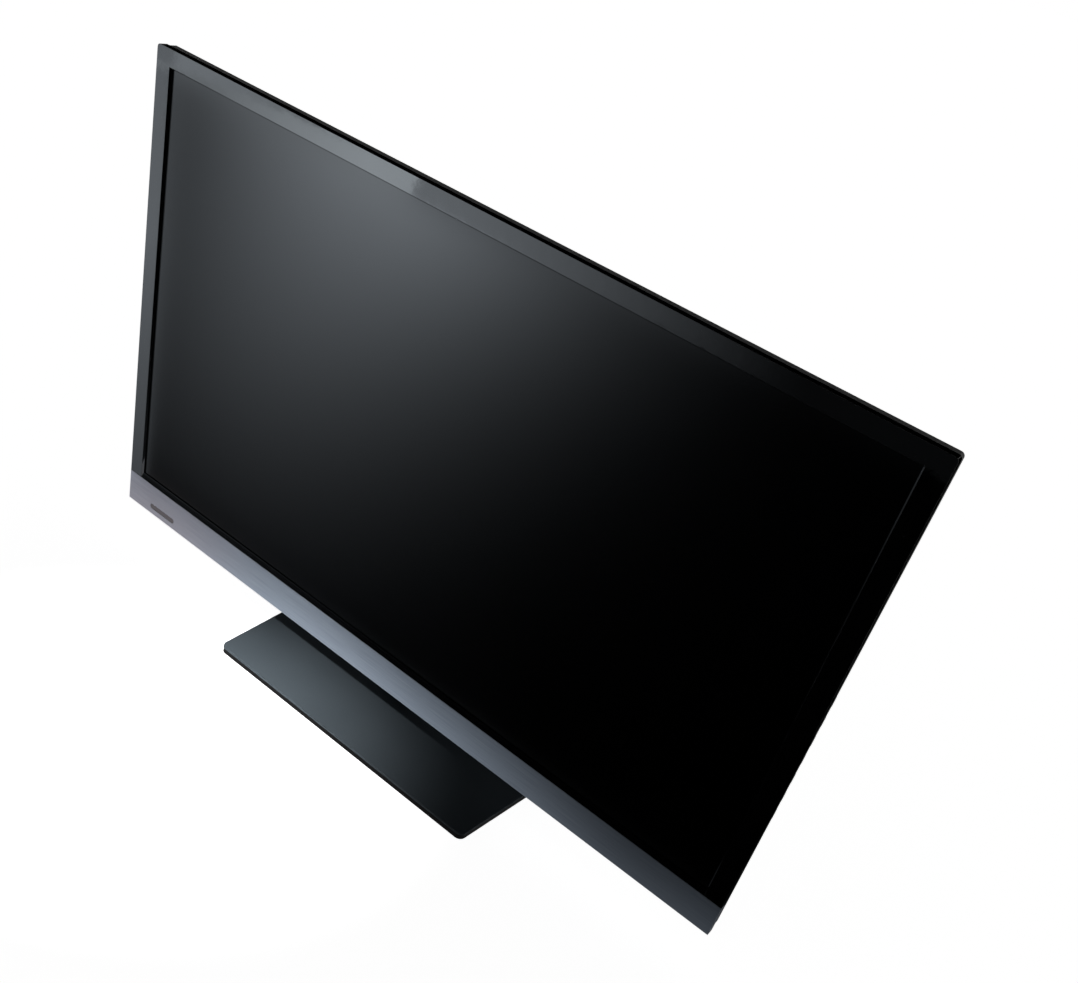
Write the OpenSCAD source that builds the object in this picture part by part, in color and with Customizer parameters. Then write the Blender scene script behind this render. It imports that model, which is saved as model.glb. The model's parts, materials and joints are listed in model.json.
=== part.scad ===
// Flat screen television on a swivel table stand, in millimetres.
// Origin on the table under the middle of the base, +X to the viewer's right, +Z up, screen facing -Y.

/* [Picture] */
// Width of the lit picture
screen_w = 885.6; // [820:0.1:960]
// Height of the lit picture
screen_h = 498.2; // [470:0.1:540]
// Gap from the picture to the opening of the front frame
reveal = 0.5; // [0.3:0.1:1.5]

/* [Front frame] */
// Width of the frame at each side of the picture
bezel_side = 22.2; // [21:0.1:34]
// Height of the frame above the picture
bezel_top = 19.6; // [18:0.1:34]
// Height of the sloped lip below the picture
lip_h = 7.2; // [5:0.1:14]
// Width of the bevel at the other three sides of the picture
bevel = 1.5; // [0.5:0.1:2]
// Depth of the front frame
bezel_depth = 9; // [8:0.5:10]
// Front wall of the front frame
bezel_wall = 2.4; // [2:0.1:2.8]
// Side walls of the front frame and the rear cover
side_wall = 2.2; // [1.8:0.1:2.4]
// Radius of the upper corners
corner_r = 4; // [2:0.5:7]
// Gap between pieces that fit into each other
fit_gap = 0.2; // [0.1:0.05:0.3]

/* [Bottom strip] */
// Height of the metal strip
strip_h = 42; // [38:0.5:60]
// Sheet thickness of the metal strip
strip_wall = 1.5; // [1:0.1:2]
// Width of the sensor window
window_w = 46; // [30:1:60]
// Height of the sensor window
window_h = 7; // [5:0.5:9]
// Middle of the sensor window, from the left end of the strip
window_from_left = 65.5; // [60:0.5:90]
// Middle of the sensor window above the bottom edge
window_z = 11.3; // [11:0.1:16]

/* [Panel] */
// Foam between the front frame and the panel
gasket_t = 0.5; // [0.3:0.1:1]
// Sheet thickness of the panel's front frame
frame_t = 0.6; // [0.4:0.1:0.8]
// Thickness of the LCD cell
cell_t = 1.8; // [1.2:0.1:2.4]
// Border of the LCD cell round the picture
cell_border = 4.2; // [3.5:0.1:5]
// Border of the whole panel round the picture
module_border = 8.7; // [8:0.1:9.5]
// Thickness of the ledge that carries the cell
ledge_t = 1.7; // [1.2:0.1:2.5]
// Thickness of each optical sheet
film_t = 0.4; // [0.2:0.05:0.6]
// Thickness of the light guide
guide_t = 3; // [2:0.1:3.5]
// Thickness of the reflector
reflector_t = 0.3; // [0.2:0.05:0.5]
// Sheet thickness of the chassis
chassis_t = 1; // [0.8:0.1:1.4]
// LEDs on each bar
led_count = 48; // [24:2:60]

/* [Rear cover] */
// Depth of the set at its edges
edge_depth = 20; // [19:0.5:24]
// Depth of the set over the thick middle
body_depth = 42; // [41:0.5:54]
// Wall of the rear cover
cover_wall = 2.5; // [2:0.1:3]
// Step from the front frame in to the rear cover
cover_inset = 1; // [0.9:0.1:1.5]
// Width of the flat back
bulge_w = 700; // [696:1:740]
// Slope run at the sides of the flat back
bulge_flare = 25; // [15:1:32]
// Bottom of the thick middle above the bottom edge
bulge_z0 = 8; // [6:0.5:9]
// Top of the flat back above the bottom edge
bulge_z1 = 470; // [462:1:484]
// Slope run at the top of the flat back
bulge_top_flare = 35; // [20:1:38]
// Ventilation slots in each row
vent_count = 44; // [20:2:56]
// Width of a ventilation slot
vent_w = 3; // [2:0.5:4]
// Height of a ventilation slot
vent_h = 16; // [10:1:18]

/* [Wall mount] */
// Distance between the bolt holes, both ways
vesa = 300; // [290:5:305]
// Radius of the bolt holes
vesa_r = 3; // [2:0.5:4]

/* [Sockets] */
// Distance from the middle to each socket wall
socket_x = 318; // [314:1:322]
// Lower end of the socket pocket
pocket_z = 170; // [165:1:185]
// Distance from one socket to the next
socket_pitch = 24; // [22:0.5:25]
// Distance from one audio jack to the next
jack_pitch = 18; // [15:0.5:18.5]

/* [Buttons] */
// Travel of a button
button_travel = 0.7; // [0.4:0.1:0.7]
// Width of a button, front to back
button_w = 4.4; // [3:0.1:5]
// Height of a button
button_h = 12; // [8:0.5:16]
// Distance from one button to the next
button_pitch = 24; // [20:0.5:28]
// Middle of the lowest button above the bottom edge
button_z = 170; // [150:1:200]

/* [Stand] */
// Width of the base along its front
base_w = 391; // [340:1:480]
// Depth of the base
base_d = 225; // [200:1:280]
// How much wider the base grows towards the back on each side
base_flare = 16; // [0:0.5:30]
// Thickness of the base
base_h = 9; // [9:0.5:14]
// Radius of the corners of the base
base_r = 8; // [4:0.5:20]
// Wall of the base cover
base_wall = 2.5; // [2:0.1:2.6]
// Height of the feet
foot_h = 2.2; // [2:0.1:4]
// How far the base reaches in front of the screen
base_reach = 67; // [60:1:90]
// Gap between the base and the set
stand_gap = 36.8; // [25:0.2:60]
// Distance of the swivel axis behind the set's back
neck_back = 15.5; // [15:0.5:18]
// Radius of the neck
neck_r = 22; // [20:0.5:23]
// Greatest turn each way
swivel_deg = 20; // [5:1:30]

/* [Hidden] */
$fn = 48;
arc_steps = 6;
arc_deg = 90 / arc_steps;
over = 1;
running_fit = 0.05;

// Front frame and picture
body_w = screen_w + 2 * reveal + 2 * bezel_side;
screen_z = strip_h + lip_h + reveal;
body_h = screen_z + screen_h + reveal + bezel_top;
open_w = screen_w + 2 * reveal;
open_h = screen_h + 2 * reveal;
open_z = screen_z - reveal;

// Layers of the panel from front to back
y_frame = bezel_wall + gasket_t;
y_cell = y_frame + frame_t;
y_ledge = y_cell + cell_t;
y_prism = y_ledge + ledge_t;
y_diffuser = y_prism + film_t;
y_guide = y_diffuser + film_t;
y_reflector = y_guide + guide_t;
y_chassis = y_reflector + reflector_t;
y_back = y_chassis + chassis_t;
module_w = screen_w + 2 * module_border;
module_h = screen_h + 2 * module_border;
module_z = screen_z - module_border;
inner_border = module_border - frame_t;
guide_side = 3;
guide_end = 1.5;
led_gap = 0.3;
led_t = 1;
led_bar_t = 1.2;
led_end = guide_end + led_gap + led_t + led_bar_t;

// Boards behind the panel
standoff_h = 6;
standoff_r = 3.2;
plug_h = 7;
plug_w = 8;
plug_l = 24;
harness_w = 5;
harness_z = 282;
board_t = 1.6;
board_inset = 6;
y_board = y_back + standoff_h;
y_parts = y_board + board_t;
socket_edge = socket_x - cover_wall - 0.3;
board_in = 175;
board_z = 100;
pocket_h = 6 * socket_pitch + 36;
socket_z0 = pocket_z + 18;
main_board_h = pocket_z + pocket_h + 10 - board_z;
power_board_w = 120;
power_board_h = 230;
control_board_w = 220;
control_board_h = 60;
control_drop = 49;
main_board_box = [-socket_edge, board_z, socket_edge - board_in, main_board_h];
power_board_box = [board_in, board_z, power_board_w, power_board_h];
control_board_z = body_h / 2 + vesa / 2 - control_drop;
control_board_box = [-control_board_w / 2, control_board_z, control_board_w, control_board_h];
boards = [main_board_box, power_board_box, control_board_box];

// Rear cover
cover_w = body_w - 2 * cover_inset;
cover_h = body_h - 2 * cover_inset;
y_cover = bezel_depth + 0.3;
y_shoulder = edge_depth - cover_wall;
y_wall = body_depth - cover_wall;
side_x = cover_w / 2;
boss_r = 3.5;
boss_end = 12;
head_seat = 16;
screw_r = 1.2;
screw_head_r = 3;
screw_head_t = 1.8;
edge_x = body_w / 2 - side_wall - boss_r - 1.2;
edge_top = body_h - cover_inset - side_wall - boss_r - fit_gap;
edge_low = strip_wall + fit_gap + side_wall + boss_r + 0.6;
cover_screw_at = [
  for (side = [-1, 1], z = [90, body_h - 110]) [side * edge_x, z],
  for (side = [-1, 1]) [side * 300, edge_top],
  for (side = [-1, 1]) [side * (body_w / 2 - 20), edge_low]
];

// Sockets
inlet_z = 225;
inlet_pocket_h = 50;
well_x = -310;
well_w = 130;
well_z = 106;
well_h = 40;
well_floor = body_depth - 12;
jack_z = well_z + well_h / 2;

// Stand
base_z = foot_h;
base_top = base_z + base_h;
base_lean = atan(base_flare / base_d);
head_y = base_reach - base_d / 2;
head_z = base_top + stand_gap;
neck_y = head_y + body_depth + neck_back;
recess_w = 134;
recess_top = 128;
recess_floor = body_depth - 9;
bracket_t = 3;
plate_t = 4;
plate_w = 120;
plate_z0 = 12;
plate_h = 108;
bracket_y = recess_floor - cover_wall - bracket_t - fit_gap;
stand_screw_at = [for (side = [-1, 1], z = [32, 104]) [side * 46, z]];
weight_t = 3;
weight_gap = 0.3;
slip_t = 0.8;
disc_r = 55;
disc_z = base_z + weight_t + slip_t;
disc_top = base_top - base_wall - 0.3;
pivot_r = 8;
thread_r = 5;
washer_t = 1.5;
nut_t = 5;
stop_r = 2.5;
stop_at = 28;
stop_gap = 0.3;
stop_swing = swivel_deg + asin((stop_r + stop_gap) / stop_at);
slip_in = 34;
slip_out = 52;

// Buttons
button_y = (y_cover + y_shoulder) / 2 + 0.6;
button_proud = button_travel + 0.1;
flange_t = 1;
flange_lip = 1;
button_gap = 0.3;
flange_x = side_x - side_wall - 0.1 - flange_t;
plunger_x = flange_x - button_travel - 0.1;
switch_t = 3.4;
plunger_h = 2;
key_x = plunger_x - plunger_h - switch_t - board_t;

// Points of a rectangle standing on the X axis, with round corners
function round_rect(w, h, r) = [
  for (c = [[w / 2 - r, r, -90], [w / 2 - r, h - r, 0], [r - w / 2, h - r, 90], [r - w / 2, r, 180]])
    for (i = [0 : arc_steps])
      [c[0] + r * cos(c[2] + arc_deg * i), c[1] + r * sin(c[2] + arc_deg * i)]
];

// Points of a rectangle standing on the X axis, with only its upper corners round
function top_round(w, h, r) = concat(
  [[-w / 2, 0], [w / 2, 0]],
  [for (i = [0 : arc_steps]) [w / 2 - r + r * cos(arc_deg * i), h - r + r * sin(arc_deg * i)]],
  [for (i = [0 : arc_steps]) [r - w / 2 - r * sin(arc_deg * i), h - r + r * cos(arc_deg * i)]]
);

// Half the width of the thick middle at a depth, and its top
function bulge_half(y) = bulge_w / 2 + bulge_flare * (body_depth - y) / (body_depth - edge_depth);
function bulge_roof(y) = bulge_z1 + bulge_top_flare * (body_depth - y) / (body_depth - edge_depth);

// Places its children in the frame of the set: front face, middle, bottom edge
module head() {
  translate([0, head_y, head_z])
    children();
}

// Extrudes an outline drawn over X and Z back along Y
module back_from(y, depth) {
  translate([0, y + depth, 0])
    rotate([90, 0, 0])
      linear_extrude(depth)
        children();
}

// Extrudes an outline drawn over Y and Z along X, both ways from the middle
module along_x(length) {
  translate([-length / 2, 0, 0])
    rotate([90, 0, 90])
      linear_extrude(length)
        children();
}

// Box from its lowest corner
module box(x, y, z, size) {
  translate([x, y, z])
    cube(size);
}

// Plain sheet, centred on X
module sheet(w, z, h, y, t) {
  box(-w / 2, y, z, [w, t, h]);
}

// Cylinder running back along Y
module rod(x, y, z, r, length) {
  translate([x, y, z])
    rotate([-90, 0, 0])
      cylinder(r = r, h = length);
}

// Tapered block: half width and height range at two depths
module taper(y0, half0, low, high0, y1, half1, high1) {
  intersection() {
    translate([0, 0, low - over])
      linear_extrude(high0 - low + 2 * over)
        polygon([[-half0, y0], [half0, y0], [half1, y1], [-half1, y1]]);
    along_x(2 * half0 + 2 * over)
      polygon([[y0, low], [y1, low], [y1, high1], [y0, high0]]);
  }
}

// Opening for the picture: bevelled sides and top, long slope at the lip
module picture_opening() {
  intersection() {
    translate([0, 0, open_z - lip_h - over])
      linear_extrude(open_h + lip_h + bezel_top)
        polygon([
          [-open_w / 2 - bevel - over, -over], [open_w / 2 + bevel + over, -over],
          [open_w / 2 + bevel, 0], [open_w / 2, bezel_wall], [open_w / 2, bezel_wall + over],
          [-open_w / 2, bezel_wall + over], [-open_w / 2, bezel_wall], [-open_w / 2 - bevel, 0]
        ]);
    along_x(body_w)
      polygon([
        [-over, open_z - lip_h], [0, open_z - lip_h + 0.6], [bezel_wall, open_z],
        [bezel_wall + over, open_z],
        [bezel_wall + over, open_z + open_h], [bezel_wall, open_z + open_h], [0, open_z + open_h + bevel],
        [-over, open_z + open_h + bevel + over]
      ]);
  }
}

module front_bezel() {
  rail_w = body_w - 2 * strip_wall - 2 * fit_gap;
  rail_low = strip_wall + fit_gap;
  color("#141416")
    head() {
      difference() {
        union() {
          translate([0, 0, strip_h])
            back_from(0, bezel_depth)
              polygon(top_round(body_w, body_h - strip_h, corner_r));
          box(-rail_w / 2, rail_low, rail_low, [rail_w, bezel_depth - rail_low, strip_h - rail_low]);
        }
        box(side_wall - body_w / 2, bezel_wall, strip_h,
          [body_w - 2 * side_wall, bezel_depth, body_h - strip_h - side_wall]);
        box(side_wall - rail_w / 2, rail_low + bezel_wall, rail_low + side_wall,
          [rail_w - 2 * side_wall, bezel_depth, strip_h - rail_low]);
        sheet(module_w + 2 * fit_gap, module_z - fit_gap, module_h + 2 * fit_gap, bezel_wall, bezel_depth);
        picture_opening();
        box(window_from_left - body_w / 2 - window_w / 2 - over, 0, window_z - window_h / 2 - over,
          [window_w + 2 * over, bezel_depth, window_h + 2 * over]);
      }
      for (at = cover_screw_at)
        difference() {
          rod(at[0], bezel_wall, at[1], boss_r, boss_end - bezel_wall);
          rod(at[0], bezel_wall + over, at[1], screw_r + running_fit, boss_end);
        }
    }
}

module bottom_strip() {
  color("#77797c")
    head()
      difference() {
        box(-body_w / 2, 0, 0, [body_w, bezel_depth, strip_h - fit_gap]);
        box(strip_wall - body_w / 2, strip_wall, strip_wall,
          [body_w - 2 * strip_wall, bezel_depth, strip_h]);
        translate([window_from_left - body_w / 2, 0, window_z - window_h / 2])
          back_from(-over, strip_wall + 2 * over)
            polygon(round_rect(window_w, window_h, window_h / 2 - 0.5));
      }
}

module sensor_window() {
  shell = window_h - 2 * fit_gap;
  color("#0b0a0d")
    head()
      translate([window_from_left - body_w / 2, 0, window_z - shell / 2]) {
        back_from(0.2, strip_wall - 0.2)
          polygon(round_rect(window_w - 2 * fit_gap, shell, shell / 2 - 0.5));
        box(-window_w / 2, strip_wall, -0.2, [window_w, 1, shell + 0.4]);
      }
}

module sensor_board() {
  board_y = strip_wall + 1.2;
  mid = window_from_left - body_w / 2;
  color("#1f5a38")
    head() {
      box(mid - window_w / 2, board_y + 2.2, window_z - window_h / 2, [window_w, board_t, window_h]);
      box(mid - 4, board_y, window_z - 2.5, [6, 2.2, 5]);
      box(mid + 8, board_y, window_z - 1.5, [3, 2.2, 3]);
      box(mid - 14, board_y, window_z - 1, [2, 2.2, 2]);
    }
}

module screen_gasket() {
  border = 2.5;
  color("#222224")
    head()
      difference() {
        sheet(module_w, module_z, module_h, bezel_wall, gasket_t);
        sheet(screen_w + 2 * border, screen_z - border, screen_h + 2 * border, 0, y_cell);
      }
}

module panel_front_frame() {
  border = 2;
  color("#9a9da0")
    head()
      difference() {
        sheet(module_w, module_z, module_h, y_frame, y_back - y_frame);
        sheet(module_w - 2 * frame_t, module_z + frame_t, module_h - 2 * frame_t, y_cell, y_back);
        sheet(screen_w + 2 * border, screen_z - border, screen_h + 2 * border, 0, y_back);
      }
}

module lcd_panel() {
  color("#08090b")
    head()
      sheet(screen_w + 2 * cell_border, screen_z - cell_border, screen_h + 2 * cell_border, y_cell, cell_t);
}

module middle_frame() {
  side = guide_side + 0.4;
  color("#2a2b2d")
    head()
      difference() {
        sheet(screen_w + 2 * inner_border, screen_z - inner_border, screen_h + 2 * inner_border,
          y_cell, y_chassis - y_cell);
        sheet(screen_w + 2 * cell_border + 2 * fit_gap, screen_z - cell_border - fit_gap,
          screen_h + 2 * cell_border + 2 * fit_gap, 0, y_ledge);
        sheet(screen_w + 2, screen_z - 1, screen_h + 2, 0, y_back);
        sheet(screen_w + 2 * side, screen_z - led_end, screen_h + 2 * led_end, y_prism, y_back);
      }
}

module prism_sheet() {
  color("#dfe4e8")
    head()
      sheet(screen_w + 2 * guide_side, screen_z - guide_end, screen_h + 2 * guide_end, y_prism, film_t);
}

module diffuser_sheet() {
  color("#eceff0")
    head()
      sheet(screen_w + 2 * guide_side, screen_z - guide_end, screen_h + 2 * guide_end, y_diffuser, film_t);
}

module light_guide() {
  color("#d5e2ea")
    head()
      sheet(screen_w + 2 * guide_side, screen_z - guide_end, screen_h + 2 * guide_end, y_guide, guide_t);
}

module reflector_sheet() {
  color("#f4f4f2")
    head()
      sheet(screen_w + 2 * guide_side, screen_z - guide_end, screen_h + 2 * guide_end,
        y_reflector, reflector_t);
}

// One bar of LEDs lying along the light guide, its lights facing down
module led_bar(length) {
  led_w = 5;
  pitch = length / led_count;
  box(-length / 2, 0, led_t, [length, guide_t, led_bar_t]);
  for (i = [0 : led_count - 1])
    box((i + 0.5) * pitch - length / 2 - led_w / 2, 0.3, 0, [led_w, guide_t - 0.6, led_t]);
}

module led_bars() {
  length = screen_w - 10;
  color("#e9e6d8")
    head() {
      translate([0, y_guide, screen_z + screen_h + guide_end + led_gap])
        led_bar(length);
      translate([0, y_guide, screen_z - guide_end - led_gap])
        mirror([0, 0, 1])
          led_bar(length);
    }
}

// Corner holes of a board
function board_corners(b) = [
  for (x = [b[0] + board_inset, b[0] + b[2] - board_inset])
    for (z = [b[1] + board_inset, b[1] + b[3] - board_inset])
      [x, z]
];

rib_w = 10;
rib_t = 3;
rib_l = 160;
rib_x = 280;
rib_low = 80;
rib_high = 400;

module panel_chassis() {
  color("#a4a7aa")
    head() {
      sheet(screen_w + 2 * inner_border, screen_z - inner_border, screen_h + 2 * inner_border,
        y_chassis, chassis_t);
      for (b = boards, at = board_corners(b))
        difference() {
          rod(at[0], y_back, at[1], standoff_r, standoff_h);
          rod(at[0], y_back + over, at[1], screw_r + running_fit, standoff_h);
        }
      for (side = [-1, 1], z = [rib_low, rib_high])
        box(side * rib_x - rib_l / 2, y_back, z, [rib_l, rib_t, rib_w]);
    }
}

// Plain circuit board with corner holes
module board(b) {
  difference() {
    box(b[0], y_board, b[1], [b[2], board_t, b[3]]);
    for (at = board_corners(b))
      rod(at[0], y_board - over, at[1], screw_r + 0.3, board_t + 2 * over);
  }
}

source_w = 370;
source_h = 12;
source_t = 1.2;
source_x = 215;
source_z = module_z + module_h - 2 * source_h;
control_chip = 22;
shield_w = 90;
shield_h = 34;
shield_z = 12;
shield_d = 8;
shield_t = 0.5;
ribbon_t = 0.3;
ribbon_w = 36;
ribbon_lap = 8;
panel_plug_x = 70;
panel_plug_w = 40;
panel_plug_t = 3;
signal_w = 18;
signal_rise = 11;
signal_end = 14;
signal_in = 50;
signal_lap = 20;

module source_boards() {
  color("#23603f")
    head()
      for (side = [-1, 1])
        box(side * source_x - source_w / 2, y_back, source_z, [source_w, source_t, source_h]);
}

module control_board() {
  b = control_board_box;
  color("#23603f")
    head() {
      board(b);
      box(-control_chip / 2, y_parts, b[1] + shield_z + 6, [control_chip, 2, control_chip]);
      for (side = [-1, 1])
        box(side * panel_plug_x - panel_plug_w / 2, y_parts, b[1] + b[3] - 10,
          [panel_plug_w, panel_plug_t, 6]);
      box(b[0] + signal_end, y_parts, b[1] + signal_rise, [6, panel_plug_t, signal_w]);
    }
}

module control_shield() {
  b = control_board_box;
  color("#b4b7b9")
    head()
      difference() {
        sheet(shield_w, b[1] + shield_z, shield_h, y_parts, shield_d);
        sheet(shield_w - 2 * shield_t, b[1] + shield_z + shield_t, shield_h - 2 * shield_t,
          y_parts - over, shield_d - shield_t + over);
      }
}

module panel_ribbons() {
  b = control_board_box;
  low = b[1] + b[3] + 1;
  lift = y_parts + panel_plug_t;
  flat = y_back + source_t;
  color("#e4e0d0")
    head()
      for (side = [-1, 1])
        translate([side * panel_plug_x - ribbon_w / 2, 0, 0]) {
          box(0, flat, low, [ribbon_w, ribbon_t, source_z + ribbon_lap - low]);
          box(0, flat, low, [ribbon_w, lift + ribbon_t - flat, ribbon_t]);
          box(0, lift, low - ribbon_lap, [ribbon_w, ribbon_t, ribbon_lap]);
        }
}

module signal_ribbon() {
  m = main_board_box;
  b = control_board_box;
  z = b[1] + signal_rise;
  x = m[0] + m[2] - signal_in;
  color("#2d2e31")
    head() {
      box(x, y_parts, m[1] + m[3] - signal_lap,
        [signal_w, ribbon_t, z + signal_w - m[1] - m[3] + signal_lap]);
      box(x, y_parts, z, [b[0] + signal_end - x, ribbon_t, signal_w]);
    }
}

main_chip = 34;
main_chip_t = 3;
main_chip_x = 79;
main_chip_z = 147;
memory_w = 14;
memory_h = 10;
memory_t = 1.2;
memory_pitch = 22;
main_cap_r = 4;
main_cap_h = 9;
main_cap_pitch = 14;

module main_board() {
  b = main_board_box;
  mid = b[0] + main_chip_x;
  color("#1d5c3a")
    head() {
      board(b);
      box(mid - main_chip / 2, y_parts, b[1] + main_chip_z - main_chip / 2,
        [main_chip, main_chip_t, main_chip]);
      for (i = [-1 : 1])
        box(mid + i * memory_pitch - memory_w / 2, y_parts, b[1] + main_chip_z + main_chip + memory_h / 2,
          [memory_w, memory_t, memory_h]);
      for (i = [0 : 4])
        rod(mid + main_chip + main_cap_r, y_parts, b[1] + main_chip_z / 2 + i * main_cap_pitch,
          main_cap_r, main_cap_h);
      box(b[0] + b[2] - 2 - plug_w, y_parts, harness_z - plug_l / 2, [plug_w, plug_h, plug_l]);
    }
}

sink_w = 44;
fins = 8;
fin_t = 1.5;
fin_h = 11;

module main_heatsink() {
  b = main_board_box;
  size = sink_w;
  color("#8d9093")
    head()
      translate([b[0] + main_chip_x - size / 2, y_parts + main_chip_t, b[1] + main_chip_z - size / 2]) {
        cube([size, fin_t, size]);
        for (i = [0 : fins - 1])
          translate([i * (size - fin_t) / (fins - 1), 0, 0])
            cube([fin_t, fin_h, size]);
      }
}

// Metal socket whose mouth faces -X, with a tongue inside
module socket(w, h, depth, sheet_t, tongue) {
  difference() {
    box(0, 0, -w / 2, [depth, h, w]);
    box(-over, sheet_t, sheet_t - w / 2, [depth - 2 + over, h - 2 * sheet_t, w - 2 * sheet_t]);
  }
  box(2, h / 2 - tongue / 2, sheet_t + 2 - w / 2, [depth - 3, tongue, w - 2 * sheet_t - 4]);
}

hdmi_w = 15.4;
hdmi_h = 6.4;
hdmi_depth = 12;
usb_w = 14.6;
usb_h = 7;
usb_depth = 14;
network_w = 16;
network_h = 13.6;
network_depth = 18;
network_wall = 1.6;

module hdmi_sockets() {
  color("#b9bcbe")
    head()
      for (i = [1 : 4])
        translate([-socket_x, y_parts, socket_z0 + i * socket_pitch])
          socket(hdmi_w, hdmi_h, hdmi_depth, 0.7, 1.2);
}

module usb_sockets() {
  color("#c2c5c7")
    head()
      for (i = [5 : 6])
        translate([-socket_x, y_parts, socket_z0 + i * socket_pitch])
          socket(usb_w, usb_h, usb_depth, 0.7, 1.8);
}

module network_socket() {
  w = network_wall;
  color("#b9bcbe")
    head()
      translate([-socket_x, y_parts, socket_z0])
        difference() {
          box(0, 0, -network_w / 2, [network_depth, network_h, network_w]);
          box(-over, w, w - network_w / 2,
            [network_depth - w + over, network_h - 2 * w, network_w - 2 * w]);
        }
}

jack_r = 4.2;
jack_hole_r = 1.65;

module audio_jacks() {
  color("#d8d8d4")
    head()
      for (i = [0 : 4])
        difference() {
          union() {
            box(well_x + 16 + i * jack_pitch - 6, y_parts, jack_z - 6,
              [12, well_floor - cover_wall - y_parts - 0.3, 12]);
            rod(well_x + 16 + i * jack_pitch, y_parts + 1, jack_z, jack_r, body_depth - 2.5 - y_parts);
          }
          rod(well_x + 16 + i * jack_pitch, well_floor, jack_z, jack_hole_r, body_depth);
        }
}

antenna_x = well_x + well_w - 16;
antenna_r = 4.7;

module antenna_socket() {
  color("#c9b98a")
    head()
      difference() {
        union() {
          box(antenna_x - 8, y_parts, jack_z - 8, [16, well_floor - cover_wall - y_parts - 0.3, 16]);
          rod(antenna_x, y_parts + 1, jack_z, antenna_r, body_depth - 2.5 - y_parts);
        }
        rod(antenna_x, well_floor + 1, jack_z, 1, body_depth);
      }
}

module power_board() {
  b = power_board_box;
  color("#c8a868")
    head() {
      board(b);
      box(b[0] + 2, y_parts, harness_z - plug_l / 2, [plug_w, plug_h, plug_l]);
    }
}

big_cap_r = 10;
big_cap_h = 16;
big_cap_x = 90;
big_cap_z = 60;
small_cap_r = 5;
small_cap_h = 13;
small_cap_x = 20;
small_cap_z = 210;
small_cap_pitch = 14;

module power_capacitors() {
  b = power_board_box;
  color("#2b2a35")
    head() {
      for (i = [0 : 1])
        rod(b[0] + big_cap_x, y_parts, b[1] + big_cap_z + i * (2 * big_cap_r + 4), big_cap_r, big_cap_h);
      for (i = [0 : 4])
        rod(b[0] + small_cap_x + i * small_cap_pitch, y_parts, b[1] + small_cap_z, small_cap_r, small_cap_h);
    }
}

coil_w = 34;
coil_h = 20;
coil_d = 14;
coil_core = 4;
coil_x = 47;
coil_z = 62;
coil_pitch = 48;

module power_transformers() {
  b = power_board_box;
  color("#d9b23c")
    head()
      for (i = [0 : 1])
        translate([b[0] + coil_x, y_parts, b[1] + coil_z + i * coil_pitch]) {
          box(-coil_w / 2, 0, -coil_h / 2, [coil_w, coil_d, coil_h]);
          box(-coil_w / 2 - coil_core, 0, -coil_h / 2 - coil_core,
            [coil_w + 2 * coil_core, coil_core, coil_h + 2 * coil_core]);
        }
}

power_sink_w = 50;
power_sink_d = 16;
power_sink_t = 2;
power_sink_z = 32;
power_sink_pitch = 108;
power_fin_h = 5;
power_fin_pitch = 12;

module power_heatsinks() {
  b = power_board_box;
  t = power_sink_t;
  color("#96999c")
    head()
      for (i = [0 : 1])
        translate([b[0] + coil_x - power_sink_w / 2, y_parts, b[1] + power_sink_z + i * power_sink_pitch]) {
          cube([power_sink_w, power_sink_d, t]);
          for (k = [0 : 4])
            box(k * power_fin_pitch, power_sink_d / 4, 0, [t, 3 * power_sink_d / 4, t + power_fin_h]);
        }
}

inlet_w = 28;
inlet_h = 17;
inlet_depth = 24;
inlet_mid = y_parts + inlet_h / 2;

// Outline of the figure-eight mains opening, over Y and Z
module inlet_outline() {
  square([8.4, 8.6], center = true);
  for (side = [-1, 1])
    translate([0, side * 4.3])
      circle(r = 4.2);
}

module mains_inlet() {
  color("#1a1a1c")
    head()
      translate([socket_x, inlet_mid, inlet_z]) {
        difference() {
          box(-inlet_depth, -inlet_h / 2, -inlet_w / 2, [inlet_depth, inlet_h, inlet_w]);
          translate([over, 0, 0])
            mirror([1, 0, 0])
              rotate([90, 0, 90])
                linear_extrude(15 + over)
                  inlet_outline();
        }
        for (side = [-1, 1])
          translate([-16, 0, side * 4.3])
            rotate([0, 90, 0])
              cylinder(r = 1.2, h = 13);
      }
}

module power_harness() {
  m = main_board_box;
  p = power_board_box;
  size = harness_w;
  z = harness_z - size / 2;
  left = m[0] + m[2] + 1;
  right = p[0] - 1;
  top = y_parts + plug_h;
  reach = plug_w + 3;
  color("#3a3a3d")
    head() {
      box(left - reach, top, z, [reach + size, size, size]);
      box(left, y_back, z, [size, top + size - y_back, size]);
      box(left, y_back, z, [right - left, size, size]);
      box(right - size, y_back, z, [size, top + size - y_back, size]);
      box(right - size, top, z, [reach + size, size, size]);
    }
}

// Round-headed screw entering towards the front
module screw(x, y, z, length) {
  rod(x, y - length, z, screw_r, length);
  rod(x, y, z, screw_head_r, screw_head_t);
}

module board_screws() {
  color("#b5b7b9")
    head()
      for (b = boards, at = board_corners(b))
        screw(at[0], y_parts, at[1], board_t + standoff_h - 2);
}

speaker_w = 150;
speaker_h = 36;
speaker_x = 255;
speaker_y = y_back + 3;
speaker_d = y_wall - 1 - speaker_y;
speaker_z = bulge_z0 + cover_wall + 0.3;

// Loudspeaker box whose cone faces down
module speaker() {
  cone_r = speaker_d / 2 - 2;
  translate([0, speaker_y, speaker_z]) {
    difference() {
      box(-speaker_w / 2, 0, 0, [speaker_w, speaker_d, speaker_h]);
      for (x = [-32, 32])
        translate([x, speaker_d / 2, -over])
          cylinder(r1 = cone_r + over, r2 = 3, h = 8 + over);
    }
    for (x = [-32, 32])
      translate([x, speaker_d / 2, 4])
        cylinder(r = 3.5, h = 5);
  }
}

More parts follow.
